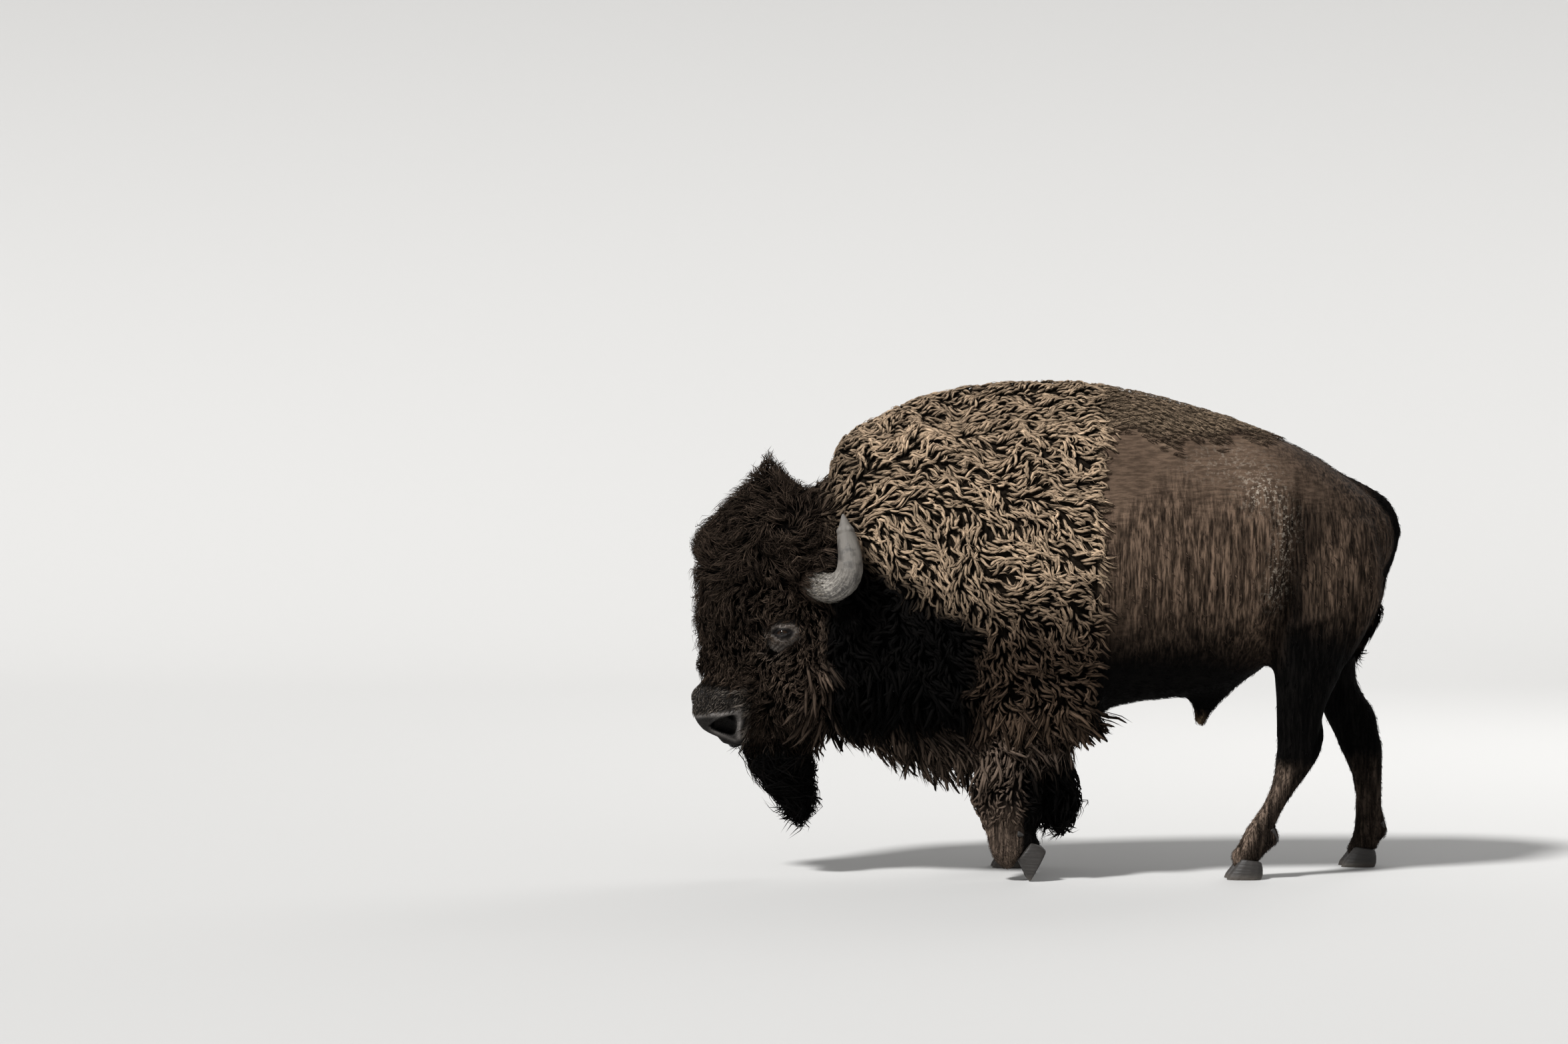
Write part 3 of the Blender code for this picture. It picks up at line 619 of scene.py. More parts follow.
def muzzle_carving(p):
    """The pits and folds of the muzzle, as a push (dx, dy, dz) in metres."""
    x, y, z = p.T
    turn = np.sign(y)
    here = step(0.035, 0.055, np.abs(y)) * near_muzzle(p)
    wide, tall = nostril(x, z)
    pit = step(1.05, 0.75, tall) * step(-0.10, 0.15, wide) * step(1.14, 0.92, wide + 0.14 * tall**2) * here
    rim = bell(tall - 1.30, 0.30) * step(-0.2, 0.3, wide) * step(1.3, 1.1, wide) * here * (z > NOSE[1])
    push = np.zeros_like(p)
    push[:, 0] += pit * 0.020
    push[:, 1] += turn * (0.007 * rim - 0.052 * pit)
    push[:, 2] += 0.010 * pit
    # the mouth, a groove under the muzzle that ends in a corner behind the nostril
    share, off = across(x, z, (-1.235, 0.505), (-1.085, 0.452))
    mouth = bell(off + 0.004, 0.006) * step(1.0, 0.9, share) * near_muzzle(p)
    push[:, 2] += 0.012 * mouth * step(0.0, 0.2, share + 1)
    push[:, 1] -= turn * 0.006 * mouth
    # a fold behind the nostril, a shelf over it, and fine wrinkles above that
    fold = bell(x + 1.112, 0.012) * step(0.44, 0.50, z) * step(0.64, 0.58, z) * here
    push[:, 1] += turn * 0.007 * fold
    shelf = bell(z - 0.592 - 0.12 * (x + 1.2), 0.009) * here
    push[:, 1] += turn * 0.006 * shelf
    wrinkle = np.sin(95 * z + 30 * x + 3 * soft_noise(p, 0.04, 9)) * step(0.60, 0.63, z)
    push[:, 1] += turn * 0.0011 * wrinkle * here
    return push


def fuller(p, normal):
    """More flesh on the hind shanks, front and back, and a squarer front and chin to the muzzle."""
    x, _, z = p.T
    push = np.zeros_like(p)
    shank = (x > 0.5) * step(0.10, 0.18, z) * step(0.52, 0.42, z)
    push += 0.012 * shank[:, None] * normal * (1.0, 0.35, 1.0)
    push[:, 0] -= 0.015 * step(-1.18, -1.25, x) * bell(z - 0.575, 0.065)
    push[:, 0] -= 0.024 * step(-1.13, -1.21, x) * bell(z - 0.665, 0.036)
    push[:, 2] -= 0.018 * step(-1.06, -1.14, x) * step(0.53, 0.47, z)
    return push


p = points_of(skin)
p = p + fuller(p, normals_of(skin))
p = p + normals_of(skin) * carving(p)[:, None]
p = p + muzzle_carving(p)
set_points(skin, p)
p = relaxed(p, edges_of(skin), 0.35 * near_muzzle(p), 1)
# behind each eye the skin draws back into the socket, under the lids
socket = bell(np.hypot(p[:, 0] - EYE[0], p[:, 2] - EYE[2]), 0.040) * (np.abs(p[:, 1]) > 0.08)
p[:, 1] -= np.sign(p[:, 1]) * 0.034 * socket
set_points(skin, p)
print("carved muzzle points", int(near_muzzle(p).sum()), "front at x", round(p[:, 0].min(), 3))

# %% [markdown]
# ## Where is the skin?
# Tens of thousands of tufts have to follow the skin without sinking into it. A grid of small cells holds,
# for each cell, the plane of the skin nearest to it. Blending the planes of the eight cells round a point
# gives its height above the skin and the skin's normal, for all points at once.

# %% Height above the skin
CELL = 0.02
GRID_MARGIN = 0.24
FAR = 9.0


def planes_of(points, normals, spread=9):
    """A grid of planes (nx, ny, nz, d) with nx x + ny y + nz z = d on the skin, and which cells are full."""
    low = points.min(0) - GRID_MARGIN
    shape = np.ceil((points.max(0) + GRID_MARGIN - low) / CELL).astype(int)
    cell = np.floor((points - low) / CELL).astype(int)
    flat = np.ravel_multi_index(cell.T, shape)
    values = np.column_stack([normals, points])
    total = np.column_stack([np.bincount(flat, values[:, k], minlength=shape.prod()) for k in range(6)])
    count = np.bincount(flat, minlength=shape.prod())
    full = count > 0
    normal = unit(total[:, :3])
    middle = total[:, 3:] / np.maximum(count, 1)[:, None]
    plane = np.column_stack([normal, np.sum(normal * middle, axis=1)])
    plane = (plane * full[:, None]).reshape(*shape, 4)
    full = full.reshape(shape).astype(float)
    for _ in range(spread):
        total, count = np.zeros_like(plane), np.zeros_like(full)
        for axis in range(3):
            for way in (1, -1):
                total += np.roll(plane, way, axis)
                count += np.roll(full, way, axis)
        fresh = (full == 0) & (count > 0)
        plane[fresh] = total[fresh] / count[fresh][:, None]
        full[fresh] = 1.0
    return low, plane, full


def ground(p, planes=None):
    """For each point, its height over the skin and the skin's normal there. Far off, the height is FAR."""
    low, plane, full = planes or SKIN_PLANES
    place = (p - low) / CELL - 0.5
    cell = np.clip(np.floor(place).astype(int), 0, np.array(full.shape) - 2)
    t = np.clip(place - cell, 0, 1)
    mean, weight = 0.0, 0.0
    for corner in np.ndindex(2, 2, 2):
        share = np.prod(np.where(np.array(corner), t, 1 - t), axis=1)
        i, j, k = (cell + np.array(corner)).T
        mean = mean + share[:, None] * plane[i, j, k]
        weight = weight + share * full[i, j, k]
    mean = mean / np.maximum(weight, 1e-6)[:, None]
    length = np.maximum(np.linalg.norm(mean[:, :3], axis=1), 1e-6)
    height = (np.sum(mean[:, :3] * p, axis=1) - mean[:, 3]) / length
    normal = mean[:, :3] / length[:, None]
    return np.where(weight > 0.4, height, FAR), normal


# %% [markdown]
# ## Cores for the longest hair
# The beard, the long hair behind the forelegs and the brush of the tail are masses of hair with no flesh
# in them. Each gets a dark core, a shrunken copy of its solid, so that no daylight shows between locks.

# %% Cores
CORES = {"beard": 0.016, "leg_hair_left": 0.018, "leg_hair_right": 0.018, "tail_tuft": 0.012}
CORE_VOXEL = 0.008
CORE_ROUNDS = 6


def core_of(name, depth):
    """The node's form, remeshed and drawn in by depth, with the side that met the flesh sunk into it."""
    made = remeshed(joined([name]), CORE_VOXEL)
    made.name = name + "_core"
    made.data.name = made.name
    edges = edges_of(made)
    for _ in range(CORE_ROUNDS):
        p = points_of(made) - normals_of(made) * depth / CORE_ROUNDS
        set_points(made, relaxed(p, edges, 0.4, 2))
    p = points_of(made)
    height, normal = ground(p)
    glued = step(0.070, 0.045, height) * (height < 1.0)
    set_points(made, relaxed(p - normal * ((height + 0.012) * glued)[:, None], edges, 0.4, 2))
    return made


SKIN_PLANES = planes_of(points_of(skin), normals_of(skin))
cores = {name: core_of(name, depth) for name, depth in CORES.items()}
bodies = [skin, *cores.values()]
SKIN_PLANES = planes_of(
    np.concatenate([points_of(b) for b in bodies]), np.concatenate([normals_of(b) for b in bodies])
)
print("cores", {name: len(core.data.vertices) for name, core in cores.items()})

# %% [markdown]
# ## The markings
# One formula gives the colour of the hair at any place, and both the skin and the tufts use it. The cape
# over neck, shoulders and ribs is sun-bleached, its lower edge and the chest run to near black, the head
# and forelegs are dark brown, and the short coat behind is a deep brown that darkens towards the belly.
# Some of it is painted light: shade under the throat and the belly and in the crease behind the thigh's
# front edge, and highlights on the lids and down the front of the near hind cannon.

# %% Colour of the hair
# linear red, green and blue
CAPE = np.array((0.440, 0.320, 0.216))
CAPE_LOW = np.array((0.060, 0.040, 0.027))
HEAD = np.array((0.058, 0.041, 0.030))
BLACKISH = np.array((0.0028, 0.0024, 0.0022))
REAR = np.array((0.098, 0.066, 0.046))
RUMP = np.array((0.056, 0.038, 0.027))
SHANK = np.array((0.062, 0.045, 0.034))
LID_HIGHLIGHT = np.array((0.190, 0.160, 0.136))
TIP_OF_SHEATH = np.array((0.150, 0.105, 0.065))
LIP = np.array((0.165, 0.140, 0.118))


def blend(first, second, share):
    """first where share is 0 and second where it is 1."""
    return first + (second - first) * np.reshape(share, (-1, 1))


def cape_edge(z):
    """The x of the cape's rear border at each height: it leans back towards the spine."""
    return 0.155 + 0.045 * step(1.45, 1.65, z) - 0.03 * step(0.9, 0.6, z)


def cape_share(p):
    """1 on the cape and in front of it, and 0 behind its border, which wavers."""
    x, _, z = p.T
    wobble = 0.014 * (soft_noise(p, 0.03, 31) - 0.5)
    return step(cape_edge(z) + 0.012, cape_edge(z) - 0.012, x + wobble)


def back_share(p):
    """1 on the wool that runs on over the back behind the hump, and 0 below it."""
    x, _, z = p.T
    low = 1.60 + 0.09 * (soft_noise(p, 0.06, 32) - 0.5)
    return (1 - cape_share(p)) * step(low - 0.04, low + 0.04, z) * step(0.88, 0.70, x)


def hair_colour(p):
    """The hair's colour at each point (n, 3)."""
    x, y, z = p.T
    spread = soft_noise(p, 0.10, 21)[:, None]
    # the cape: sun-bleached above, dull on the neck, dark at the hem, and black at the throat, where its
    # dark hair gets painted shade under the head
    cape = blend(CAPE, CAPE * 0.80, step(1.55, 1.70, z))
    cape = blend(cape, CAPE * 0.42, step(-0.62, -0.76, x))
    cape = blend(cape, CAPE_LOW * 1.25, step(1.20, 0.84, z + 0.25 * np.clip(-x - 0.25, 0, 1)))
    throat = step(0.98, 0.84, z - 0.55 * (-0.2 - x)) * step(-0.20, -0.34, x)
    throat = np.maximum(throat, step(0.64, 0.54, z) * step(-0.26, -0.32, x))
    # painted shade under the head, over the dark hair of the throat and lower chest
    cape = blend(cape, BLACKISH, throat)
    # the rear: dark below, with painted shade under the belly, black on the thigh below a sloping line,
    # painted shade in the crease behind the thigh's front edge, and paler on the haunch
    rear = blend(REAR, RUMP, step(0.72, 0.95, x))
    # near black towards the belly: its dark hair, with painted shade under the belly
    rear = blend(rear, BLACKISH * 0.8, step(1.06, 0.76, z + 0.06 * step(0.5, 0.8, x)))
    thigh = step(0.72, 0.86, x) * (z < 1.3)
    rear = blend(rear, REAR * 1.35, 0.8 * bell(x - 0.95, 0.09) * bell(z - 1.10, 0.13))
    fold = z + 0.25 * (x - 0.85) + 0.06 * (soft_noise(p, 0.12, 23) - 0.5)
    rear = blend(rear, BLACKISH * 0.9, thigh * step(1.10, 0.84, fold))
    rear = blend(rear, TIP_OF_SHEATH, bell(x - 0.557, 0.025) * step(0.60, 0.56, z) * (z > 0.5))
    back = back_share(p)
    rear = blend(rear, CAPE * 0.70, back)
    rear = blend(rear, BLACKISH, (0.8 - 0.6 * back) * step(0.045, 0.02, np.abs(y)) * step(1.30, 1.36, z))
    # painted shade in the crease behind the thigh's front edge
    share, off = across(x, z, *THIGH_EDGE)
    painted_crease_shade = bell(off - 0.07, 0.07) * step(-0.1, 0.3, share) * step(1.1, 0.8, share)
    rear = rear * (1 - 0.75 * painted_crease_shade[:, None])
    cape = cape * (0.72 + 0.56 * soft_noise(p, 0.05, 25)[:, None])
    body = blend(rear, cape, cape_share(p))
    # the legs
    leg = step(0.60, 0.50, z) * (x < 0.35)
    foreleg = blend(SHANK * 1.8, BLACKISH, step(0.02, 0.06, x + 0.16) * step(0.6, 0.4, z))
    body = blend(body, foreleg, leg)
    cannon = step(0.44, 0.34, z) * (x > 0.4)
    body = blend(body, SHANK * 0.5, cannon)
    # painted highlight: a pale strip down the front of the near (left) hind cannon only, where the sun falls
    # on it
    body = blend(body, SHANK * 2.0, cannon * (y < 0) * step(0.02, -0.02, x - 0.845 - 0.6 * (z - 0.35)))
    # the head: a paler cheek, a dark chin, a painted highlight on the folds of the lids over and under the
    # eye, and a pale band by the lip
    head = blend(HEAD, HEAD * 0.75, step(0.80, 0.60, z))
    head = blend(head, HEAD * 1.9, bell(x + 0.90, 0.11) * bell(z - 0.76, 0.11))
    head = head * (0.45 + 1.1 * soft_noise(p, 0.04, 24)[:, None])
    head = blend(head, BLACKISH * 1.2, step(0.56, 0.46, z))
    dx, dz = x - EYE[0], z - EYE[2]
    arc = bell(np.hypot(dx / 0.060, (dz + 0.004) / 0.034) - 1.0, 0.22) * step(-0.012, 0.006, dz)
    bag = 0.6 * bell(dx + 0.018, 0.036) * bell(dz + 0.050, 0.036)
    # painted highlight: a pale arc on the fold over the eye and a pale patch on the bag under it
    head = blend(head, LID_HIGHLIGHT, np.clip(arc + bag, 0, 1) * (0.5 + 0.5 * spread[:, 0]))
    band = LIP * (0.3 + 1.5 * soft_noise(p, 0.028, 26)[:, None])
    head = blend(head, band, step(-1.06, -1.09, x) * step(0.70, 0.675, z) * step(0.50, 0.54, z))
    colour = blend(body, head, head_share(p))
    tail = step(1.16, 1.20, x) * step(1.42, 1.36, z) * step(0.055, 0.040, np.abs(y))
    colour = blend(colour, BLACKISH * 1.3, tail)
    return colour * (0.82 + 0.36 * spread)


# %% [markdown]
# ## The lie of the coat
# Hair grows in currents. A small table gives the direction that it lies in at places on the side view,
# and nearer rows count for more. A slow noise turns it a little, and in the whorls on the shoulder a lot.

# %% Lie
# x, z, and the direction (x, z) towards the hair's tip
LIE = np.array((
    (-1.00, 1.50, 0.1, 1.0), (-1.12, 1.40, -0.6, 0.8), (-0.90, 1.42, 0.7, 0.6), (-1.22, 1.22, -0.9, 0.35),
    (-1.05, 1.22, -0.5, 0.5), (-0.90, 1.20, 0.5, 0.1), (-1.24, 1.02, -0.8, -0.5),
    (-1.08, 1.02, -0.5, -0.8), (-0.98, 1.00, -0.4, -0.8), (-1.20, 0.82, -0.45, -0.9),
    (-1.06, 0.80, -0.55, -0.85), (-0.90, 0.84, -0.15, -1.0), (-0.84, 0.70, 0.15, -1.0),
    (-0.98, 0.66, -0.25, -1.0), (-1.10, 0.70, -0.5, -0.9), (-1.12, 0.60, -0.6, -0.5),
    (-1.00, 0.52, 0.30, -1.0), (-0.85, 0.52, 0.35, -1.0), (-1.04, 0.42, 0.60, -0.8),
    (-0.93, 0.30, 0.60, -0.8), (-0.86, 0.22, 0.55, -0.8), (-0.80, 1.00, 0.3, -0.9),
    (-0.72, 1.50, 0.9, 0.75), (-0.55, 1.62, 1.0, 0.45), (-0.35, 1.72, 1.0, 0.15), (-0.10, 1.75, 1.0, 0.0),
    (0.15, 1.72, 1.0, -0.15), (-0.70, 1.38, 0.9, 0.45), (-0.52, 1.42, 0.9, 0.45), (-0.70, 1.24, 1.0, 0.0),
    (-0.55, 1.26, 0.9, -0.25), (-0.30, 1.55, 1.0, 0.05), (-0.05, 1.58, 1.0, -0.10),
    (0.10, 1.52, 0.9, -0.35), (-0.38, 1.18, 0.10, -1.0), (-0.34, 1.06, 0.20, -1.0),
    (-0.58, 1.10, 0.65, -0.85), (-0.50, 0.95, 0.35, -1.0), (-0.62, 0.75, 0.10, -1.0),
    (-0.45, 0.70, 0.15, -1.0), (-0.30, 0.85, 0.30, -1.0), (-0.15, 1.25, 0.8, -0.5),
    (-0.15, 1.05, 0.75, -0.55), (0.08, 1.35, 0.85, -0.65), (0.10, 1.15, 0.85, -0.75),
    (0.10, 0.95, 0.85, -0.50), (0.00, 0.90, 0.85, -0.45), (0.08, 0.75, 0.70, -0.55),
    (-0.10, 0.75, 0.55, -0.80), (0.05, 0.62, 0.60, -0.75), (-0.18, 0.60, 0.20, -1.0),
    (-0.20, 0.40, 0.10, -1.0), (-0.05, 0.45, 0.45, -0.9), (-0.02, 0.34, 0.40, -0.9),
    (-0.15, 0.20, 0.10, -1.0), (0.30, 1.45, 0.9, -0.3), (0.35, 1.15, 0.30, -1.0),
    (0.40, 0.85, 0.25, -1.0), (0.40, 0.70, 0.9, -0.3), (0.60, 1.50, 1.0, -0.35), (0.60, 1.15, 0.20, -1.0),
    (0.65, 0.80, 0.5, -0.9), (0.32, 1.32, 0.6, -0.8), (0.60, 1.36, 0.7, -0.7), (0.58, 0.58, 0.15, -1.0),
    (0.85, 1.40, 0.9, -0.6), (0.95, 1.15, 0.4, -0.9), (1.10, 1.30, 0.6, -0.8), (1.05, 0.95, 0.2, -1.0),
    (0.95, 0.60, -0.1, -1.0), (0.80, 0.30, -0.3, -1.0), (1.20, 0.50, 0.2, -1.0), (1.20, 0.20, 0.1, -1.0),
    (1.27, 1.20, -0.1, -1.0), (1.18, 0.90, -0.3, -1.0),
))
CROWN_WHORL = np.array((-0.95, 1.27))


def turned(direction, normal, angle):
    """The direction turned about the normal: d cos a + (n x d) sin a."""
    angle = np.reshape(angle, (-1, 1))
    return direction * np.cos(angle) + np.cross(normal, direction) * np.sin(angle)


def flattened(direction, normal):
    """The part of a direction that lies in the plane across the normal, at length 1."""
    return unit(direction - normal * np.sum(direction * normal, axis=1, keepdims=True))


def lie(p, normal):
    """The direction of the hair at each point, along the skin."""
    gap = (p[:, None, 0] - LIE[:, 0]) ** 2 + (p[:, None, 2] - LIE[:, 1]) ** 2
    near = 1.0 / (gap + 0.0025) ** 2
    way = (near @ LIE[:, 2:]) / near.sum(1, keepdims=True)
    on_head = head_share(p)
    from_whorl = p[:, [0, 2]] - CROWN_WHORL
    swirl = unit(from_whorl) @ np.array(((0.72, 0.69), (-0.69, 0.72)))
    way = blend(unit(way), swirl, on_head * bell(np.linalg.norm(from_whorl, axis=1), 0.19))
    out = np.sign(p[:, 1]) * on_head * step(0.0, 0.06, np.abs(p[:, 1])) * 0.35
    way = np.column_stack([way[:, 0], out, way[:, 1]])
    whorl = bell(p[:, 0] + 0.15, 0.17) * bell(p[:, 2] - 1.28, 0.17)
    fur = np.maximum(on_head, cape_share(p))
    swing = (soft_noise(p, 0.13, 51) - 0.5) * (0.8 + 4.0 * whorl + 0.8 * on_head)
    swing = swing + (soft_noise(p, 0.045, 52) - 0.5) * (0.5 + 2.6 * fur)
    return turned(flattened(way, normal), normal, swing * np.sign(p[:, 1] + 1e-9))


print("lie", len(LIE), "directions")

# %% [markdown]
# ## Growing a tuft
# Hair clings together in locks. On the cape, the chest and the forelegs each lock has a plump body, a
# closed worm with a four-sided section that follows every wave of the lie, and over it thin strands with
# a three-sided section. Elsewhere a lock is strands alone. Both leave the skin, arch to the coat's height
# and come down again, or hang. The bodies give the ridges and clefts that draw the pattern of the wool, and
# the strands break them up.

# %% The three forms
# run, arch and lit are given at each point of the centre line: the share of the length, the share of the
# rise, and how much light gets in, as painted shade. width is the section's at each ring, corners its
# outline, and edge how much painted shade darkens each corner
Form = namedtuple("Form", "run arch width corners edge lit")
STRAND = Form(
    run=np.array((0.0, 0.30, 0.68, 1.0)),
    arch=np.array((0.0, 0.92, 0.97, 0.42)),
    width=np.array((0.60, 1.0, 0.92)),
    corners=np.array(((0.0, 1.0), (-1.0, -0.35), (1.0, -0.35))),
    edge=np.array((0.0, 0.3, 0.3)),
    lit=np.array((0.0, 0.80, 1.0, 0.90)),
)
BODY = Form(
    run=np.array((0.0, 0.14, 0.34, 0.56, 0.78, 0.94, 1.0)),
    arch=np.array((-0.20, 0.70, 1.0, 1.0, 0.92, 0.62, 0.10)),
    width=np.array((0.50, 0.88, 1.0, 0.98, 0.80, 0.50)),
    corners=np.array(((0.5, 0.9), (-0.5, 0.9), (-1.0, -0.4), (1.0, -0.4))),
    edge=np.array((0.25, 0.25, 1.0, 1.0)),
    lit=np.array((0.0, 0.55, 1.0, 1.0, 0.95, 0.70, 0.30)),
)
GRAIN = Form(
    run=np.array((0.0, 0.45, 1.0)),
    arch=np.array((0.0, 0.6, 1.0)),
    width=np.array((0.8, 1.0)),
    corners=STRAND.corners,
    edge=np.zeros(3),
    lit=np.ones(3),
)
# roots start SUNK under the skin, and hair further than REACH from it is left to hang free
SUNK = 0.003
REACH = 0.08

# %% Centre lines
STYLE = {
    "stand": 0.5,  # the angle at which hair leaves the skin, in radians
    "curl": 0.5,  # how far a lock turns along its length, in radians
    "ragged": 0.15,  # how far its strands differ in that
    "wander": 0.22,  # how far whole locks turn off the lie
    "closing": 0.9,  # how far the strands close in on the lock's middle
    "spread": 0.85,  # the width over which they start, as a share of the lock's
    "hang": 0.0,  # the pull of gravity
    "hug": 1.0,  # 1 keeps the height of the arch, and 0 leaves hair free above the skin
    "pull": 0.03,  # the most by which one step may be corrected in height
    "follow": None,  # whether hair takes its heading afresh at each step, or None for hug > 0.5
    "crimp": 0.0009,  # the shake of each point
    "tuft": 0.0055,  # a strand's width
    "body": 0.0,  # the body's width, or 0 for none
    "pack": 0.5,  # the gap between roots along the lie, as a share of the length
    "pack_across": 0.5,  # the gap across it, as a share of the width
    "form": STRAND,
    "way": None,  # a function for the direction, in place of the lie
}


def grown(form, roots, heading, length, rise, stand, curl, own_turn, seed, style):
    """
    The points of each tuft's centre line, and the skin's normal at each.
    Every step goes a share of the length along the heading, turned by curl and raised by stand, which
    fades towards the tip while the pull of gravity, hang, grows. With hug 1 the height above the skin is
    then set to rise times the arch, and with hug 0 it is only kept above the skin, but no step moves a
    point up or down by more than pull. Hair that follows the lie takes its heading afresh at each step, so
    it takes part in every wave. Crimp shakes each point a little to all sides.
    """
    chance = np.random.default_rng(seed)
    hug, pull = style["hug"], style["pull"]
    follow = hug > 0.5 if style["follow"] is None else style["follow"]
    height, normal = ground(roots)
    spot = roots - normal * (np.clip(height, -0.02, 0.02) + SUNK)[:, None]
    line, up = [spot], [normal]
    for k in range(1, len(form.run)):
        t = form.run[k]
        part = (t - form.run[k - 1]) * length
        if follow and k > 1:
            heading = turned(lie(spot, normal), normal, own_turn)
        ahead = turned(flattened(heading, normal), normal, curl * (t - 0.35))
        pitch = stand * (1.15 - t)
        free = ahead * np.cos(pitch)[:, None] + normal * np.sin(pitch)[:, None]
        free = unit(free - style["hang"] * t * UP)
        spot = spot + free * part[:, None]
        height, beside = ground(spot)
        near = np.abs(height) < REACH
        normal = np.where(near[:, None], beside, normal)
        arch = form.arch[k]
        wanted = hug * rise * arch + (1 - hug) * np.maximum(height, 0.3 * rise * arch)
        spot = spot + normal * np.where(near, np.clip(wanted - height, -pull, pull), 0.0)[:, None]
        spot = spot + chance.normal(0, style["crimp"], spot.shape)
        line.append(spot)
        up.append(normal)
    return np.stack(line, 1), np.stack(up, 1)


# %% From lines to mesh
PATCH = 0.003
MOST_TRIANGLES = 196000
BODY_FLAT = 0.8
# how the hairs' noise runs over a tuft: per metre across, per place in the lock, along, and per tone
HAIRS_ACROSS, HAIRS_BY_PLACE, HAIRS_ALONG, HAIRS_BY_TONE = 230.0, 4.0, 2.2, 40.0
Bundle = namedtuple("Bundle", "form line up width tone place")
coat_pieces = []


def tuft_pattern(form):
    """The triangles of one tuft as point numbers, and each corner's place in the tuft's patch."""
    rings, sides = len(form.width), len(form.corners)
    faces = [(0, k + 1, k) for k in range(1, sides - 1)]
    patch = [((0.1, 0.0), (0.5, 0.12), (0.9, 0.0))] * len(faces)
    for ring in range(rings):
        for side in range(sides):
            a, b = sides * ring + side, sides * ring + (side + 1) % sides
            left, right = side / sides, (side + 1) / sides
            low, high = form.run[ring], form.run[ring + 1]
            if ring == rings - 1:
                faces.append((a, b, sides * rings))
                patch.append(((left, low), (right, low), ((left + right) / 2, high)))
                continue
            faces += [(a, b, b + sides), (a, b + sides, a + sides)]
            patch.append(((left, low), (right, low), (right, high)))
            patch.append(((left, low), (right, high), (left, high)))
    return np.array(faces), np.array(patch)


def spikes(bundle, flat):
    """The points of each tuft: the form's corners round its line at each ring, and the tip."""
    form, line = bundle.form, bundle.line
    rings = len(form.width)
    ahead = np.empty_like(line)
    ahead[:, 1:-1] = line[:, 2:] - line[:, :-2]
    ahead[:, 0] = line[:, 1] - line[:, 0]
    ahead[:, -1] = line[:, -1] - line[:, -2]
    side = unit(np.cross(ahead, bundle.up))[:, :rings, None]
    out = unit(np.cross(side[:, :, 0], ahead[:, :rings]))[:, :, None]
    half = (bundle.width[:, None] * form.width / 2)[:, :, None, None]
    corner = side * form.corners[:, 0, None] + out * (form.corners[:, 1, None] * flat)
    points = line[:, :rings, None] + corner * half
    return np.concatenate([points.reshape(len(line), -1, 3), line[:, -1:]], axis=1)


def unwrapped(p, axis):
    """Each point's place on the unrolled form: the share along the axis, and the share of the turn."""
    other = 2 - axis
    middle = np.median(p[:, [other, 1]], axis=0)
    along = p[:, axis]
    angle = np.arctan2(p[:, other] - middle[0], np.abs(p[:, 1]) + 0.02)
    angle = np.where(p[:, 1] < 0, angle, math.pi - angle)
    flat = np.column_stack([along, angle])
    low, high = flat.min(0), flat.max(0)
    return 0.01 + 0.97 * (flat - low) / np.maximum(high - low, 1e-6)


def tuft_piece(name, material, bundle, flat, axis, colour):
    """One mesh of closed tufts with the values that its shader reads, and the OFBake map."""
    form, line = bundle.form, bundle.line
    rings, sides = len(form.width), len(form.corners)
    count, each = len(line), rings * sides + 1
    pattern, patch = tuft_pattern(form)
    faces = (pattern[None] + each * np.arange(count)[:, None, None]).reshape(-1, 3)
    made = mesh_of(name, spikes(bundle, flat).reshape(-1, 3), faces, material)
    # painted shade: lit runs up from the root along the tuft, drops at the corners by the form's edge, and
    # drops on the outer tufts of each lock, which lie lower on its sides
    lit = np.append((form.lit[:rings, None] * (1 - 0.62 * form.edge**2)).ravel(), form.lit[-1])
    sunk = 1 - 0.60 * np.minimum(bundle.place**2, 1.2)
    set_values(made, "lit", (sunk[:, None] * lit).ravel())
    set_values(made, "tone", np.repeat(bundle.tone, each))
    own = hair_colour(line[:, 0]) if colour is None else np.tile(colour, (count, 1))
    set_values(made, "coat_colour", np.repeat(own, each, axis=0))
    beside = np.append(np.tile(form.corners[:, 0], rings), 0.0) * HAIRS_ACROSS
    streak = np.empty((count, each, 3))
    streak[:, :, 0] = bundle.width[:, None] * beside + HAIRS_BY_PLACE * bundle.place[:, None]
    streak[:, :, 1] = HAIRS_ALONG * np.append(np.repeat(form.run[:rings], sides), 1.0)
    streak[:, :, 2] = HAIRS_BY_TONE * bundle.tone[:, None]
    set_values(made, "streak", streak.reshape(-1, 3))
    place = unwrapped(line[:, 0], axis)[:, None, None]
    flat_map = (place + PATCH * patch[None]).reshape(-1, 2)
    layer = made.data.uv_layers.new(name="OFBake")
    layer.data.foreach_set("uv", flat_map.astype(np.float32).ravel())
    coat_pieces.append(made)


def coat(name, material, bundles, flat, axis=0, colour=None):
    """
    The tufts as pieces small enough each: the left and right halves, cut again along x where needed. flat
    is a strand's thickness as a share of its width. axis is the one that the map unrolls along, 0 for x
    and 2 for z. colour stands in for the marking.
    """
    for label, bundle in zip((name, name + "_body"), bundles):
        most = MOST_TRIANGLES // len(tuft_pattern(bundle.form)[0])
        thickness = BODY_FLAT if bundle.form is BODY else flat
        made = 0
        for side, chosen in (("left", bundle.line[:, 0, 1] < 0), ("right", bundle.line[:, 0, 1] >= 0)):
            numbers = np.flatnonzero(chosen)
            numbers = numbers[np.argsort(bundle.line[numbers, 0, 0])]
            parts = max(1, -(-len(numbers) // most))
            for k, part in enumerate(np.array_split(numbers, parts)):
                if len(part) == 0:
                    continue
                full = f"{label}_{side}" + (f"_{k + 1}" if parts > 1 else "")
                cut = Bundle(bundle.form, *(values[part] for values in bundle[1:]))
                tuft_piece(full, material, cut, thickness, axis, colour)
                made += 1
        print(label, len(bundle.line), "tufts in", made, "pieces")


# %% Roots


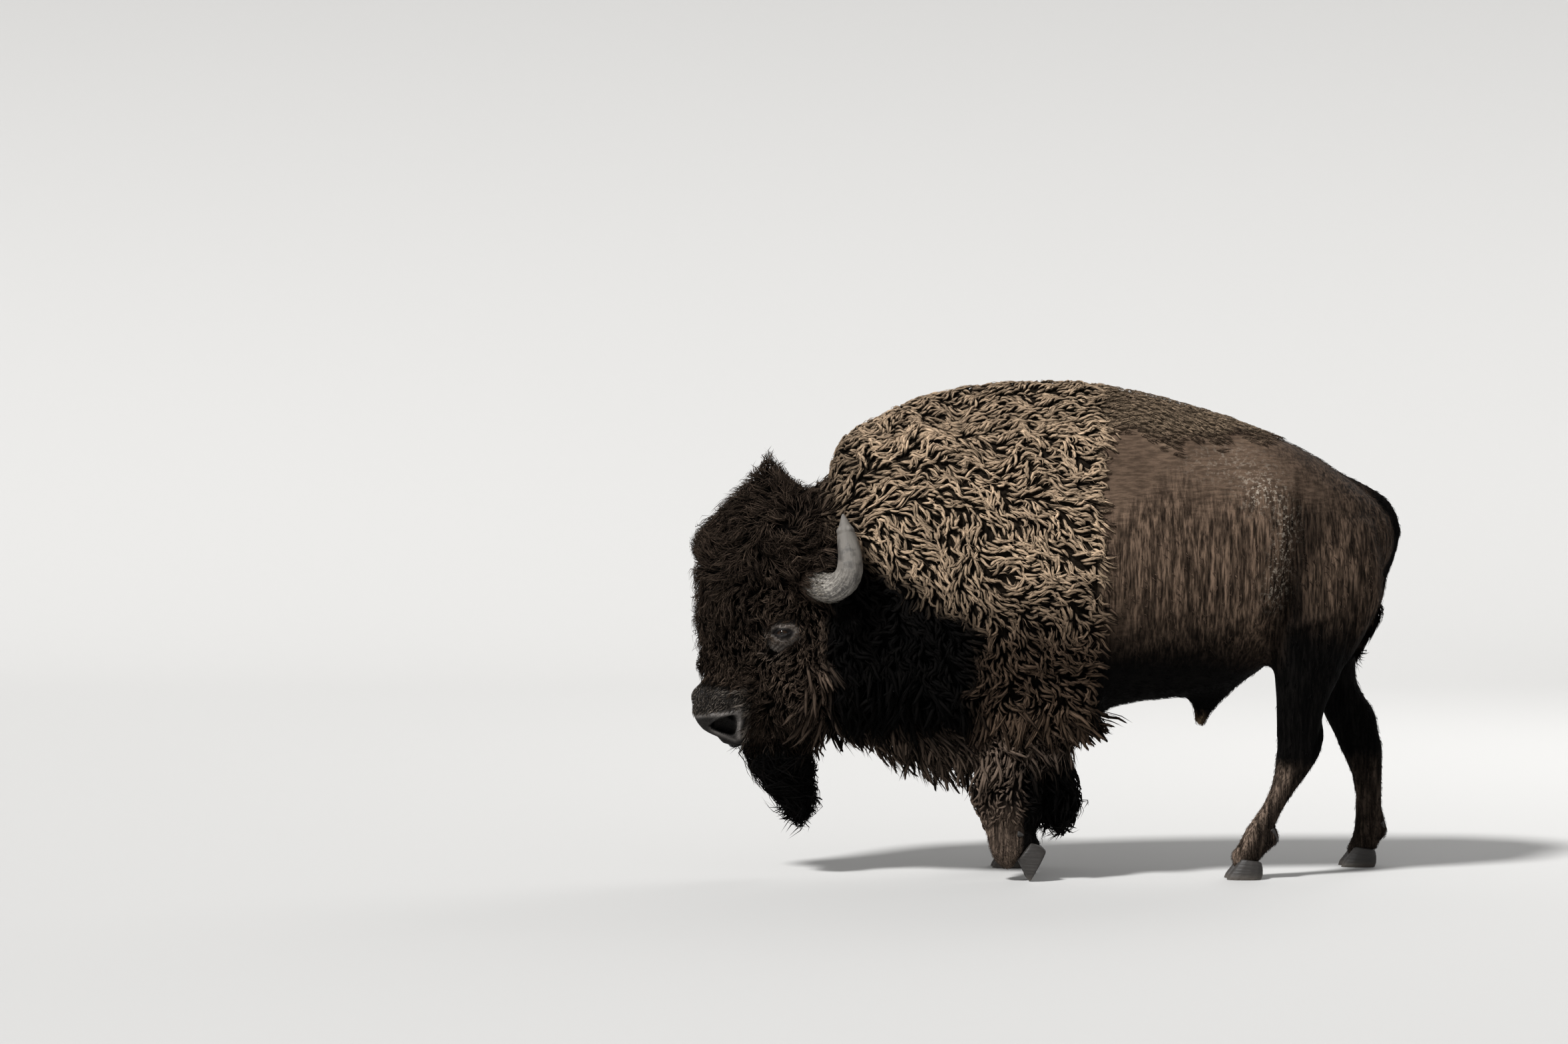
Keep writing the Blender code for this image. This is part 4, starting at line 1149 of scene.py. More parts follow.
def scattered(obj, density, count, seed):
    """Random points, count of them, on the faces of a mesh, spread in proportion to density(points)."""
    mesh = obj.data
    mesh.calc_loop_triangles()
    corners = np.empty(len(mesh.loop_triangles) * 3, np.int32)
    mesh.loop_triangles.foreach_get("vertices", corners)
    a, b, c = points_of(obj)[corners.reshape(-1, 3)].transpose(1, 0, 2)
    area = np.linalg.norm(np.cross(b - a, c - a), axis=1) / 2
    share = area * density((a + b + c) / 3)
    chance = np.random.default_rng(seed)
    chosen = chance.choice(len(share), count, p=share / share.sum())
    u, v = chance.random((2, count, 1))
    fold = u + v > 1
    u, v = np.where(fold, 1 - u, u), np.where(fold, 1 - v, v)
    return a[chosen] + (b - a)[chosen] * u + (c - a)[chosen] * v


def spaced(points, way, length, width):
    """
    The numbers of the points to keep: in order, those that lie outside the ellipses of all kept before. An
    ellipse has the half axes length, along the lie, and width, across it.
    """
    cells = np.floor(points / max(length, width)).astype(int)
    around = [(i, j, k) for i in (-1, 0, 1) for j in (-1, 0, 1) for k in (-1, 0, 1)]
    taken, kept = {}, []
    for number, (x, y, z) in enumerate(cells.tolist()):
        near = [n for i, j, k in around for n in taken.get((x + i, y + j, z + k), ())]
        if near:
            gap = points[near] - points[number]
            run = gap @ way[number]
            off = np.maximum((gap**2).sum(1) - run**2, 0)
            if ((run / length) ** 2 + off / width**2).min() < 1:
                continue
        taken.setdefault((x, y, z), []).append(number)
        kept.append(number)
    return np.array(kept)


def locks(obj, density, depth, tries, size, across_size, tufts, seed, **own_style):
    """
    Locks of tufts on a mesh. Roots are tried where density(points) says, and thinned out by spaced.
    depth(points) is the coat's height, size the lock's length and across_size its width. Each of its tufts
    starts beside the lock's root, shares its turn, and closes in on the middle towards the tip. The style
    is STYLE with own_style over it. Returns the strands and, where the style has a body, the bodies.
    """
    style = {**STYLE, **own_style}
    chance = np.random.default_rng(seed)
    root = scattered(obj, density, tries, seed)
    _, normal = ground(root)
    way = style["way"](root) if style["way"] else lie(root, normal)
    way = flattened(way, normal)
    kept = spaced(root, way, style["pack"] * size, style["pack_across"] * across_size)
    root, normal, way = root[kept], normal[kept], way[kept]
    count = len(root)
    own_turn = chance.normal(0, style["wander"], count)
    way = turned(way, normal, own_turn)
    own_length = size * chance.uniform(0.6, 1.3, count)
    own_curl = chance.normal(0, 1, count) * style["curl"]
    own_rise = chance.uniform(0.70, 1.05, count) * depth(root)
    own_tone = chance.uniform(0, 1, count)
    own_stand = style["stand"] * chance.uniform(0.85, 1.15, count)

    place = np.linspace(-1, 1, tufts)[None, :] + chance.uniform(-0.22, 0.22, (count, tufts))
    side = np.cross(normal, way)
    start = root[:, None] + side[:, None] * (place * across_size / 2)[:, :, None] * style["spread"]
    start = start + way[:, None] * (chance.uniform(-0.22, 0.16, (count, tufts)) * size)[:, :, None]
    place = place.ravel()
    closing = -place * style["closing"] * across_size / size
    many = count * tufts

    def each(values):
        """The lock's value for each of its tufts."""
        return np.repeat(values, tufts, axis=0)

    thick = 0.36 * style["body"]
    drooped = np.minimum(place**2, 1.2)
    line, up = grown(
        style["form"],
        start.reshape(-1, 3),
        turned(each(way), each(normal), closing),
        each(own_length) * chance.uniform(0.75, 1.15, many),
        each(own_rise) * chance.uniform(0.92, 1.08, many) + 0.0015 - thick * 1.1 * drooped,
        each(own_stand) * chance.uniform(0.9, 1.1, many),
        each(own_curl) + chance.normal(0, style["ragged"], many),
        each(own_turn) + closing,
        seed + 1,
        style,
    )
    width = style["tuft"] * chance.uniform(0.75, 1.25, many)
    tone = np.clip(0.75 * each(own_tone) + 0.25 * chance.uniform(0, 1, many), 0, 1)
    bundles = [Bundle(style["form"], line, up, width, tone, place)]
    if style["body"]:
        rise = np.maximum(own_rise - thick, 0.002)
        line, up = grown(BODY, root, way, own_length, rise, own_stand, own_curl, own_turn, seed + 2, style)
        width = style["body"] * chance.uniform(0.85, 1.15, count)
        bundles.append(Bundle(BODY, line, up, width, own_tone, np.zeros(count)))
    return bundles


def grow_coat(name, material, obj, density, depth, tries, size, across_size, tufts, seed, flat, axis=0,
              **style):
    """Locks on a mesh, as coat pieces."""
    bundles = locks(obj, density, depth, tries, size, across_size, tufts, seed, **style)
    coat(name, material, bundles, flat, axis)


# %% [markdown]
# ## What hair looks like
# The coat's shader takes the marking colour and darkens it towards the root, where little light gets in.
# Each tuft has its own tone. A fine streaky bump stands for the single hairs, which are too thin to model.

# %% Coat material


def coat_material(name, roughness, shine, root_shade, contrast):
    """Marking colour x (root shade + light) x lock tone x single hairs. The hairs are a drawn-out noise."""
    made, shader, start = new_material(name, roughness)
    shader.inputs["Specular IOR Level"].default_value = shine
    colour = start.stored("coat_colour", COLOUR)
    lit = start.stored("lit")
    tone = start.stored("tone")
    hair = start.stored("streak", VECTOR).noise(1.6, 4.0, 0.65).between(0.30, 0.70)
    depth = root_shade + (1.20 - root_shade) * lit.between(0.25, 1.00)
    shade = depth * (1.0 - contrast / 2 + contrast * tone) * (0.50 + 0.95 * hair)
    feed(shader, "Base Color", colour.scaled(shade))
    feed(shader, "Roughness", roughness - 0.10 + 0.2 * hair)
    bumped(shader, hair, 0.8, 0.003)
    return made


cape_hair = coat_material("cape_hair", 0.85, shine=0.05, root_shade=0.03, contrast=0.50)
dark_hair = coat_material("dark_hair", 0.85, shine=0.04, root_shade=0.10, contrast=0.90)
back_hair = coat_material("back_hair", 0.82, shine=0.05, root_shade=0.45, contrast=0.45)
short_hair = coat_material("short_hair", 0.80, shine=0.05, root_shade=0.90, contrast=0.40)
print("coat materials", [m.name for m in (cape_hair, dark_hair, back_hair, short_hair)])

# %% [markdown]
# ## The cape
# Over the neck, shoulders and front ribs the wool stands about two centimetres deep, in wavy locks the
# width of a finger. They pack side by side like worms, with dark clefts between, and end in a ragged edge
# behind the shoulder.

# %% Cape


def hem(x):
    """The height at which the cape gives way to the longer hair of the chest."""
    return 0.62 + 0.16 * step(-0.35, -0.55, x)


def cape_area(p):
    """Where the cape's locks grow."""
    x, _, z = p.T
    low = hem(x)
    area = cape_share(p) * (1 - head_share(p)) * step(low - 0.04, low, z)
    return area * (x > -0.86)


def depth_here(p):
    """The coat's depth, kept within 6 and 50 mm."""
    return np.clip(coat_depth(p), 0.006, 0.05)


def hump_share(p):
    """1 on the top of the hump and the back, where the locks lie smaller and straighter."""
    return step(1.56, 1.66, p[:, 2] + 0.05 * (soft_noise(p, 0.1, 88) - 0.5))


grow_coat(
    "cape", cape_hair, skin, lambda p: cape_area(p) * (1 - hump_share(p)), lambda p: 0.95 * depth_here(p),
    tries=70000, size=0.064, across_size=0.0125, tufts=3, seed=101, flat=0.6,
    curl=0.85, wander=0.20, tuft=0.0036, body=0.0112, pack=0.47, pack_across=0.86, closing=0.3,
    crimp=0.0016, spread=0.62, ragged=0.22,
)
grow_coat(
    "cape_top", cape_hair, skin, lambda p: cape_area(p) * hump_share(p), lambda p: 0.80 * depth_here(p),
    tries=30000, size=0.050, across_size=0.0115, tufts=3, seed=151, flat=0.6,
    curl=0.45, wander=0.14, tuft=0.0034, body=0.0098, pack=0.50, pack_across=0.90, closing=0.3,
    crimp=0.0012, spread=0.70,
)
grow_coat(
    "cape_back", back_hair, skin, back_share, lambda p: 0.011,
    tries=9000, size=0.042, across_size=0.0130, tufts=4, seed=171, flat=0.6,
    curl=0.35, wander=0.14, tuft=0.0034, pack=0.42, pack_across=0.95, closing=0.3, crimp=0.0010,
)

# %% [markdown]
# ## Chest and throat
# Under the neck the wool turns into long dark strands that hang towards the ground and break the lower
# outline into points.

# %% Chest and throat


def mane_area(p):
    """The chest and throat, under the cape's hem."""
    x, _, z = p.T
    low = hem(x)
    return (x > -0.88) * (x < 0.14) * step(low + 0.03, low - 0.02, z) * step(0.40, 0.50, z)


grow_coat(
    "chest_hair", dark_hair, skin, mane_area, lambda p: 0.035,
    tries=14000, size=0.125, across_size=0.024, tufts=5, seed=202, flat=0.5,
    stand=0.55, hang=0.8, hug=0.0, curl=0.5, tuft=0.0048, body=0.014, pack=0.22, pack_across=0.95,
    wander=0.3, crimp=0.003,
)

# %% [markdown]
# ## The head
# The crown carries a mop of long soft hair that stands out in front and above. Lower down the face the
# hair is shorter and lies towards the muzzle, the cheeks are curly, and it stops in a shaggy edge over
# the bare muzzle.

# %% Head


def clear_of(p, places, radius):
    """0 within radius of any of the places, in the side view, and 1 further away."""
    free = np.ones(len(p))
    for place in places:
        free = free * (np.hypot(p[:, 0] - place[0], p[:, 2] - place[1]) > radius)
    return free


HORN_ROOT = (-0.862 + SHIFT, 1.078)
HORN_CLEAR = 0.045
# two discs round the eye that the lids cover
EYE_PATCH = [(EYE[0] + 0.004, EYE[2] + 0.008), (EYE[0] - 0.014, EYE[2] - 0.026)]


def muzzle_rise(x):
    """How much higher than at its back the shaggy edge over the muzzle runs, towards the front."""
    return 0.5 * np.clip(-1.10 - x, 0, 1)


def crown_area(p):
    """The mop over the forehead, but not the foot of the horns."""
    x, _, z = p.T
    on_head = (head_share(p) > 0.5) * step(1.10, 1.20, z + 0.25 * step(-1.10, -1.22, x))
    return on_head * clear_of(p, [HORN_ROOT], HORN_CLEAR)


def face_area(p):
    """The face and cheeks, but not the muzzle, the lids and the foot of the horns."""
    x, _, z = p.T
    muzzle = (z < 0.69 + muzzle_rise(x)) & (x < -1.075)
    area = (head_share(p) > 0.5) * (1 - crown_area(p)) * (1 - muzzle) * (z > 0.50)
    return area * clear_of(p, [HORN_ROOT], HORN_CLEAR) * clear_of(p, EYE_PATCH, 0.047)


def to_horn(p):
    """From each point towards the foot of the nearer horn, and out of the head."""
    return np.column_stack([HORN_ROOT[0] - p[:, 0], 0.9 * np.sign(p[:, 1]) * 0.05, HORN_ROOT[1] - p[:, 2]])


def horn_foot(p):
    """A ring of skin round the foot of each horn."""
    gap = np.hypot(p[:, 0] - HORN_ROOT[0], p[:, 2] - HORN_ROOT[1])
    return (gap > 0.040) * (gap < 0.085) * (np.abs(p[:, 1]) > 0.06) * 1.0


grow_coat(
    "crown_hair", dark_hair, skin, crown_area, lambda p: 0.06,
    tries=20000, size=0.090, across_size=0.020, tufts=9, seed=303, flat=0.45, axis=2,
    stand=0.85, hang=0.08, hug=0.0, follow=True, curl=0.90, tuft=0.0030,
    pack=0.20, pack_across=0.75, wander=0.40, closing=0.2, crimp=0.0034, ragged=0.30,
)

grow_coat(
    "face_hair", dark_hair, skin, face_area, lambda p: 0.95 * depth_here(p),
    tries=30000, size=0.046, across_size=0.016, tufts=9, seed=404, flat=0.5, axis=2,
    stand=0.55, hang=0.15, hug=0.6, curl=1.10, tuft=0.0029, pull=0.011, pack=0.44,
    pack_across=0.84, wander=0.32, crimp=0.0024, ragged=0.30,
)

grow_coat(
    "horn_foot_hair", dark_hair, skin, horn_foot, lambda p: 0.03,
    tries=3000, size=0.118, across_size=0.014, tufts=5, seed=454, flat=0.5, axis=2,
    way=to_horn, stand=1.15, hug=0.0, follow=False, curl=0.6, tuft=0.0030,
    pack=0.12, pack_across=0.8, wander=0.40, crimp=0.0036, ragged=0.4,
)

# %% Shaggy edge over the muzzle, and the jaw


def fringe_area(p):
    """The shaggy edge: a band over the muzzle, and a band behind it."""
    x, _, z = p.T
    edge = 0.70 + muzzle_rise(x)
    front = (x < -1.06) & (z > edge - 0.01) & (z < edge + 0.07)
    back = (x < -1.03) & (x > -1.09) & (z < 0.74) & (z > 0.50)
    return (front | back).astype(float)


def jaw_area(p):
    """The underside of the jaw, where the beard starts."""
    x, _, z = p.T
    return (head_share(p) > 0.3) * (x > -1.07) * step(0.62, 0.56, z) * 1.0


grow_coat(
    "muzzle_fringe", dark_hair, skin, fringe_area, lambda p: 0.03,
    tries=3000, size=0.065, across_size=0.020, tufts=9, seed=505, flat=0.5, axis=2,
    stand=0.45, hang=0.35, hug=0.2, curl=0.5, tuft=0.0032, pack=0.2, pack_across=0.8, crimp=0.002,
)


def lip_area(p):
    """The short-haired band between the shaggy edge and the nostrils, and the chin."""
    x, _, z = p.T
    band = (x < -1.055) & (z > 0.600 + 0.12 * (x + 1.2)) & (z < 0.73)
    chin = (x < -1.04) & (z < 0.475)
    return (band | chin).astype(float)


grow_coat(
    "lip_hair", dark_hair, skin, lip_area, lambda p: 0.0040,
    tries=6000, size=0.022, across_size=0.008, tufts=3, seed=555, flat=0.6, axis=2,
    stand=0.35, hang=0.1, hug=0.9, curl=0.4, tuft=0.0018, pack=0.35, pack_across=0.7, crimp=0.0006,
    form=GRAIN,
)
grow_coat(
    "jaw_hair", dark_hair, skin, jaw_area, lambda p: 0.03,
    tries=4000, size=0.10, across_size=0.024, tufts=9, seed=606, flat=0.5, axis=2,
    stand=0.45, hang=0.7, hug=0.0, curl=0.5, tuft=0.0036, pack=0.18, pack_across=0.9, crimp=0.002,
)

# %% [markdown]
# ## Beard, leg hair and tail brush
# These grow on their cores in long overlapping strands, which run past the core's end in thin points.

# %% Long hair
FLESH_PLANES = planes_of(points_of(skin), normals_of(skin))


def free_of_flesh(p):
    """1 where a core stands clear of the flesh, and 0 where it is buried in it."""
    height, _ = ground(p, FLESH_PLANES)
    return step(0.004, 0.02, height)


grow_coat(
    "beard_hair", dark_hair, cores["beard"], free_of_flesh, lambda p: 0.014,
    tries=3500, size=0.145, across_size=0.024, tufts=7, seed=707, flat=0.45, axis=2,
    stand=0.22, hang=0.25, hug=0.4, curl=0.32, tuft=0.0046, pack=0.15, pack_across=0.6, wander=0.14,
    crimp=0.003,
)
for side, seed in (("left", 808), ("right", 809)):
    grow_coat(
        f"chap_{side}", dark_hair, cores[f"leg_hair_{side}"], free_of_flesh, lambda p: 0.018,
        tries=2600, size=0.100, across_size=0.022, tufts=6, seed=seed, flat=0.45, axis=2,
        stand=0.40, hang=0.30, hug=0.3, curl=0.35, tuft=0.0060, pack=0.25, pack_across=0.8, wander=0.2,
    )
grow_coat(
    "tail_brush", dark_hair, cores["tail_tuft"], free_of_flesh, lambda p: 0.010,
    tries=900, size=0.10, across_size=0.016, tufts=6, seed=811, flat=0.45, axis=2,
    stand=0.15, hang=0.45, hug=0.3, curl=0.25, tuft=0.0055, pack=0.16, pack_across=0.7, wander=0.12,
)

# %% [markdown]
# ## Forelegs
# Down to the knee the foreleg wears shaggy trousers, and below it the coat is short.

# %% Foreleg hair


def foreleg_area(p):
    """The forelegs from the elbow down to the knee."""
    x, y, z = p.T
    leg = (x < 0.20) * (np.abs(y) > 0.05) * step(0.60, 0.54, z)
    return leg * step(0.20, 0.27, z) * (head_share(p) < 0.1) * (x > -0.40)


grow_coat(
    "foreleg_hair", dark_hair, skin, foreleg_area, lambda p: 0.8 * depth_here(p),
    tries=9000, size=0.036, across_size=0.0115, tufts=3, seed=909, flat=0.5, axis=2,
    stand=0.45, hang=0.2, hug=0.8, curl=0.65, tuft=0.0034, body=0.0085, pack=0.52, pack_across=0.95,
    wander=0.3,
)

# %% [markdown]
# ## The short coat
# Behind the cape the hair is short and lies flat. Seen from a few metres it is a texture, so the skin's
# own bump draws it, and small tufts roughen the outline: along the spine, the belly, the back of the
# thighs and the tail, and thinly over the flank.

# %% Short hair


def short_area(p):
    """Thick along the spine, the belly and the haunch, where the coat is seen against the light."""
    x, y, z = p.T
    behind = step(cape_edge(z) - 0.01, cape_edge(z) + 0.01, x)
    spine = step(0.09, 0.02, np.abs(y)) * step(1.2, 1.3, z)
    belly = step(0.74, 0.66, z) * step(0.55, 0.62, z) * step(0.75, 0.65, x)
    sheath = bell(x - 0.57, 0.06) * step(0.68, 0.62, z) * step(0.5, 0.52, z)
    haunch = step(1.10, 1.22, x)
    thick = 0.06 * step(1.30, 1.15, z) + 1.2 * spine + 0.8 * belly + 2.5 * sheath + 0.5 * haunch
    return behind * (1 - back_share(p)) * thick * step(0.42, 0.50, z)


def shank_area(p):
    """The lower legs, down to the coronet over each hoof, where the hair grows thicker."""
    x, _, z = p.T
    behind = (x > cape_edge(z)) | (z < 0.24)
    return behind * step(0.50, 0.42, z) * step(0.045, 0.060, z) * (0.5 + 1.5 * step(0.14, 0.10, z))


FLAT_STYLE = dict(
    stand=0.3, hug=0.95, curl=0.3, pack=0.45, pack_across=0.7, wander=0.12, form=GRAIN,
)
grow_coat(
    "short_hair", short_hair, skin, short_area, lambda p: 0.0022 + 0.22 * coat_depth(p),
    tries=6000, size=0.034, across_size=0.013, tufts=2, seed=1010, flat=0.35,
    tuft=0.0030, **FLAT_STYLE,
)
grow_coat(
    "short_hair_legs", short_hair, skin, shank_area, lambda p: 0.0016,
    tries=5500, size=0.020, across_size=0.009, tufts=2, seed=1020, flat=0.35, axis=2,
    tuft=0.0021, **FLAT_STYLE,
)

# %% [markdown]
# ## The skin's finish
# Under the long hair the skin is nearly black, a painted shade, because the wool shuts out the light. On the
# rear it wears the colour of the short coat, with a fine bump drawn out along the hair, painted shade in the
# clefts between rows of hanging hair, and dust with a painted highlight on the hip bone and the thigh's
# edge.
# The muzzle is bare, dark grey and damp, with painted highlights on its ridges, painted shade in the
# nostrils, and a net of fine wrinkles.

# %% What the skin stores
p = points_of(skin)
x, y, z = p.T
under = np.maximum(cape_share(p), head_share(p)) * (1 - near_muzzle(p)) + 0.55 * back_share(p)
under = under * (1 - 0.8 * step(0.30, 0.22, z))
set_values(skin, "coat_colour", hair_colour(p) * (1 - 0.97 * under[:, None]))
bare = near_muzzle(p) * step(0.700, 0.685, z - muzzle_rise(x))
bare = bare * step(-1.055, -1.075, x)
set_values(skin, "bare", bare)
# painted highlight on the muzzle's ridges: the shelf over the nostril, the fold behind it and the lip's edge
wide, tall = nostril(x, z)
share, off = across(x, z, (-1.225, 0.532), (-1.130, 0.492))
ridge_highlight = 1.1 * bell(z - 0.590 - 0.12 * (x + 1.2), 0.007) * step(-1.105, -1.125, x)
ridge_highlight = ridge_highlight + bell(x + 1.117, 0.012) * step(0.485, 0.51, z) * step(0.625, 0.600, z)
ridge_highlight = ridge_highlight + 0.6 * bell(off, 0.006) * step(-0.1, 0.2, share) * step(1.1, 0.9, share)
# painted shade: near black in the nostril's pit
pit = step(1.12, 0.85, tall) * step(-0.12, 0.1, wide) * step(1.16, 0.95, wide + 0.14 * tall**2)
pit = pit * (np.abs(y) > 0.035)
set_values(skin, "muzzle_tone", np.clip(0.10 + 0.80 * ridge_highlight * bare, 0, 1) * (1 - pit))
# dust and a painted highlight on the hip bone, down the ridge of the thigh's front edge and, thinly, over
# the loin
dust_and_highlight = bell(x - 0.74, 0.07) * bell(z - 1.40, 0.06)
share, off = across(x, z, (0.80, 0.92), (0.875, 1.36))
dust_and_highlight = dust_and_highlight + bell(off + 0.035, 0.035) * step(0.0, 0.3, share) * step(1.05, 0.8, share)
dust_and_highlight = dust_and_highlight + 0.35 * bell(x - 0.62, 0.14) * bell(z - 1.5, 0.06)
set_values(skin, "dust_and_highlight", dust_and_highlight * (x > 0.2))
# where hair hangs rather than runs along the body, evened out over 30 rounds
upright = np.abs(lie(p, normals_of(skin))[:, 2])
upright = np.repeat(step(0.25, 0.75, upright)[:, None], 3, axis=1)
set_values(skin, "upright", relaxed(upright, edges_of(skin), 0.6, 30)[:, 0].copy())
print("bare skin points", int((bare > 0.5).sum()), "dusty_and_highlit", int((dust_and_highlight > 0.5).sum()))

# %% Skin material
skin_material, shader, start = new_material("skin", 0.62)
shader.inputs["Specular IOR Level"].default_value = 0.03
shader.inputs["Coat Roughness"].default_value = 0.42
place = start.place()
down = place.stretched((130.0, 70.0, 13.0)).noise(1.0, 5.0, 0.62)
back = place.stretched((22.0, 60.0, 110.0)).noise(1.0, 5.0, 0.62)
cord = place.stretched((52.0, 30.0, 5.0)).noise(1.0, 3.0, 0.5)
upright = start.stored("upright")
streak = back + upright * (down - back)
clump = place.noise(34.0, 4.0, 0.6)
fleck = place.noise(75.0, 3.0, 0.7)
hide = start.node("TexVoronoi", {"feature": "DISTANCE_TO_EDGE"}, 0, Vector=place, Scale=190.0)
coat_colour = start.stored("coat_colour", COLOUR)
bare = start.stored("bare")
muzzle_tone = start.stored("muzzle_tone")
dust_and_highlight = start.stored("dust_and_highlight")
# painted shade: dark clefts between the rows in which hanging hair lies
rows = 1.0 - upright * (0.62 - 0.62 * cord.between(0.42, 0.54))
contrast = 0.55 + 0.80 * upright
shade = (1.0 + contrast * (streak.between(0.36, 0.66) - 0.55) + 0.40 * (clump - 0.5)) * rows
furred = coat_colour.scaled(shade)
# pale flecks of dust and painted highlight on the hip bone, the thigh's front edge and the loin
dusty_and_highlit = (dust_and_highlight * fleck.between(0.50, 0.66)).mixed(furred, (0.34, 0.29, 0.235))
# painted highlight: the leather turns pale on the muzzle's ridges and stays near black in the nostrils
painted_muzzle_sheen = (muzzle_tone * (0.55 + 0.9 * clump)).clamped()
leather = painted_muzzle_sheen.mixed((0.0025, 0.0025, 0.0025), (0.210, 0.192, 0.178))
feed(shader, "Base Color", bare.mixed(dusty_and_highlit, leather))
feed(shader, "Roughness", 0.74 - 0.30 * bare * muzzle_tone + 0.12 * streak)
feed(shader, "Coat Weight", 0.20 * bare * muzzle_tone)
hair_height = (streak * 1.3 + clump * 0.5 + cord * upright * 1.2) * (1.0 - bare)
hide_height = hide.between(0.0, 0.35) * bare * 0.8
bumped(shader, hair_height + hide_height, 0.8, 0.006)
skin.data.materials.clear()
skin.data.materials.append(skin_material)


def in_dark_hair(obj, colour, tone, streak_scale):
    """Gives a smooth form the dark hair's material, and the values that it reads, with a low lit that paints
    it in shade.
    """
    q = points_of(obj)
    set_values(obj, "coat_colour", colour)
    set_values(obj, "lit", np.full(len(q), 0.3))
    set_values(obj, "tone", np.full(len(q), tone))
    set_values(obj, "streak", q * streak_scale)
    obj.data.materials.append(dark_hair)


# the cores take half the hair's colour and a low lit: painted shade inside the mass of long hair
for core in cores.values():
    in_dark_hair(core, hair_colour(points_of(core)) * 0.5, 0.4, (300.0, 300.0, 40.0))

# %% [markdown]
# ## Eyes
# The eye of a bison is small for the head, dark brown and wet. The ball has a cornea that stands a little
# proud, and thick wrinkled lids close over it, so that only an almond of it shows. Lids and the folds
# round them are one surface of two parameters: the turn round the eye, and the way out from the opening.

# %% Eyeballs
EYE_RADIUS = 0.026
BALL_RINGS = 34
AROUND = turns(72)


def eye_frame(side):
    """The middle of the eye, and its directions: forwards along the lids, up, and out of the head."""
    middle = centre_of(f"eye_{side}")
    turn = -1.0 if side == "left" else 1.0
    out = unit(np.array((-0.30, turn * 0.95, 0.02)))
    ahead = unit(np.cross(UP, out) * turn)
    ahead = ahead * -np.sign(ahead[0])
    rise = unit(UP - out * (UP @ out))
    return middle, ahead, rise, out


def outward(made):
    """Merges doubled points and turns every face outwards."""
    with editing(made) as bm:
        bmesh.ops.remove_doubles(bm, verts=bm.verts, dist=2e-6)
        bmesh.ops.dissolve_degenerate(bm, edges=bm.edges, dist=1e-6)
        bmesh.ops.recalc_face_normals(bm, faces=bm.faces)
    return made


def make_eyeball(side):
    """A ball in rings about the line of sight, with a low dome over the iris."""
    middle, ahead, rise, out = eye_frame(side)
    lean = np.linspace(0.0, math.pi, BALL_RINGS)[:, None]
    radius = (EYE_RADIUS - 0.0008) * (1 + 0.07 * bell(lean, 0.42))
    ring = np.sin(lean) * radius
    points = middle + (
        (ring * np.cos(AROUND))[..., None] * ahead
        + (ring * np.sin(AROUND))[..., None] * rise
        + (np.cos(lean) * radius * np.ones_like(AROUND))[..., None] * out
    )
    made = tube_mesh(f"eyeball_{side}", points)
    set_values(made, "sight", np.repeat(lean.ravel(), len(AROUND)))
    slit = np.hypot(ring * np.cos(AROUND) / 0.0075, ring * np.sin(AROUND) / 0.0048)
    set_values(made, "pupil", step(1.15, 0.9, slit).ravel() * np.repeat(lean < 1.0, len(AROUND)))
    return outward(made)


# %% Lids
LID_ROWS = np.array((
    -0.10, -0.03, 0.0, 0.04, 0.08, 0.12, 0.17, 0.22, 0.27, 0.32, 0.38, 0.44, 0.52, 0.62, 0.75, 0.88, 1.0,
))


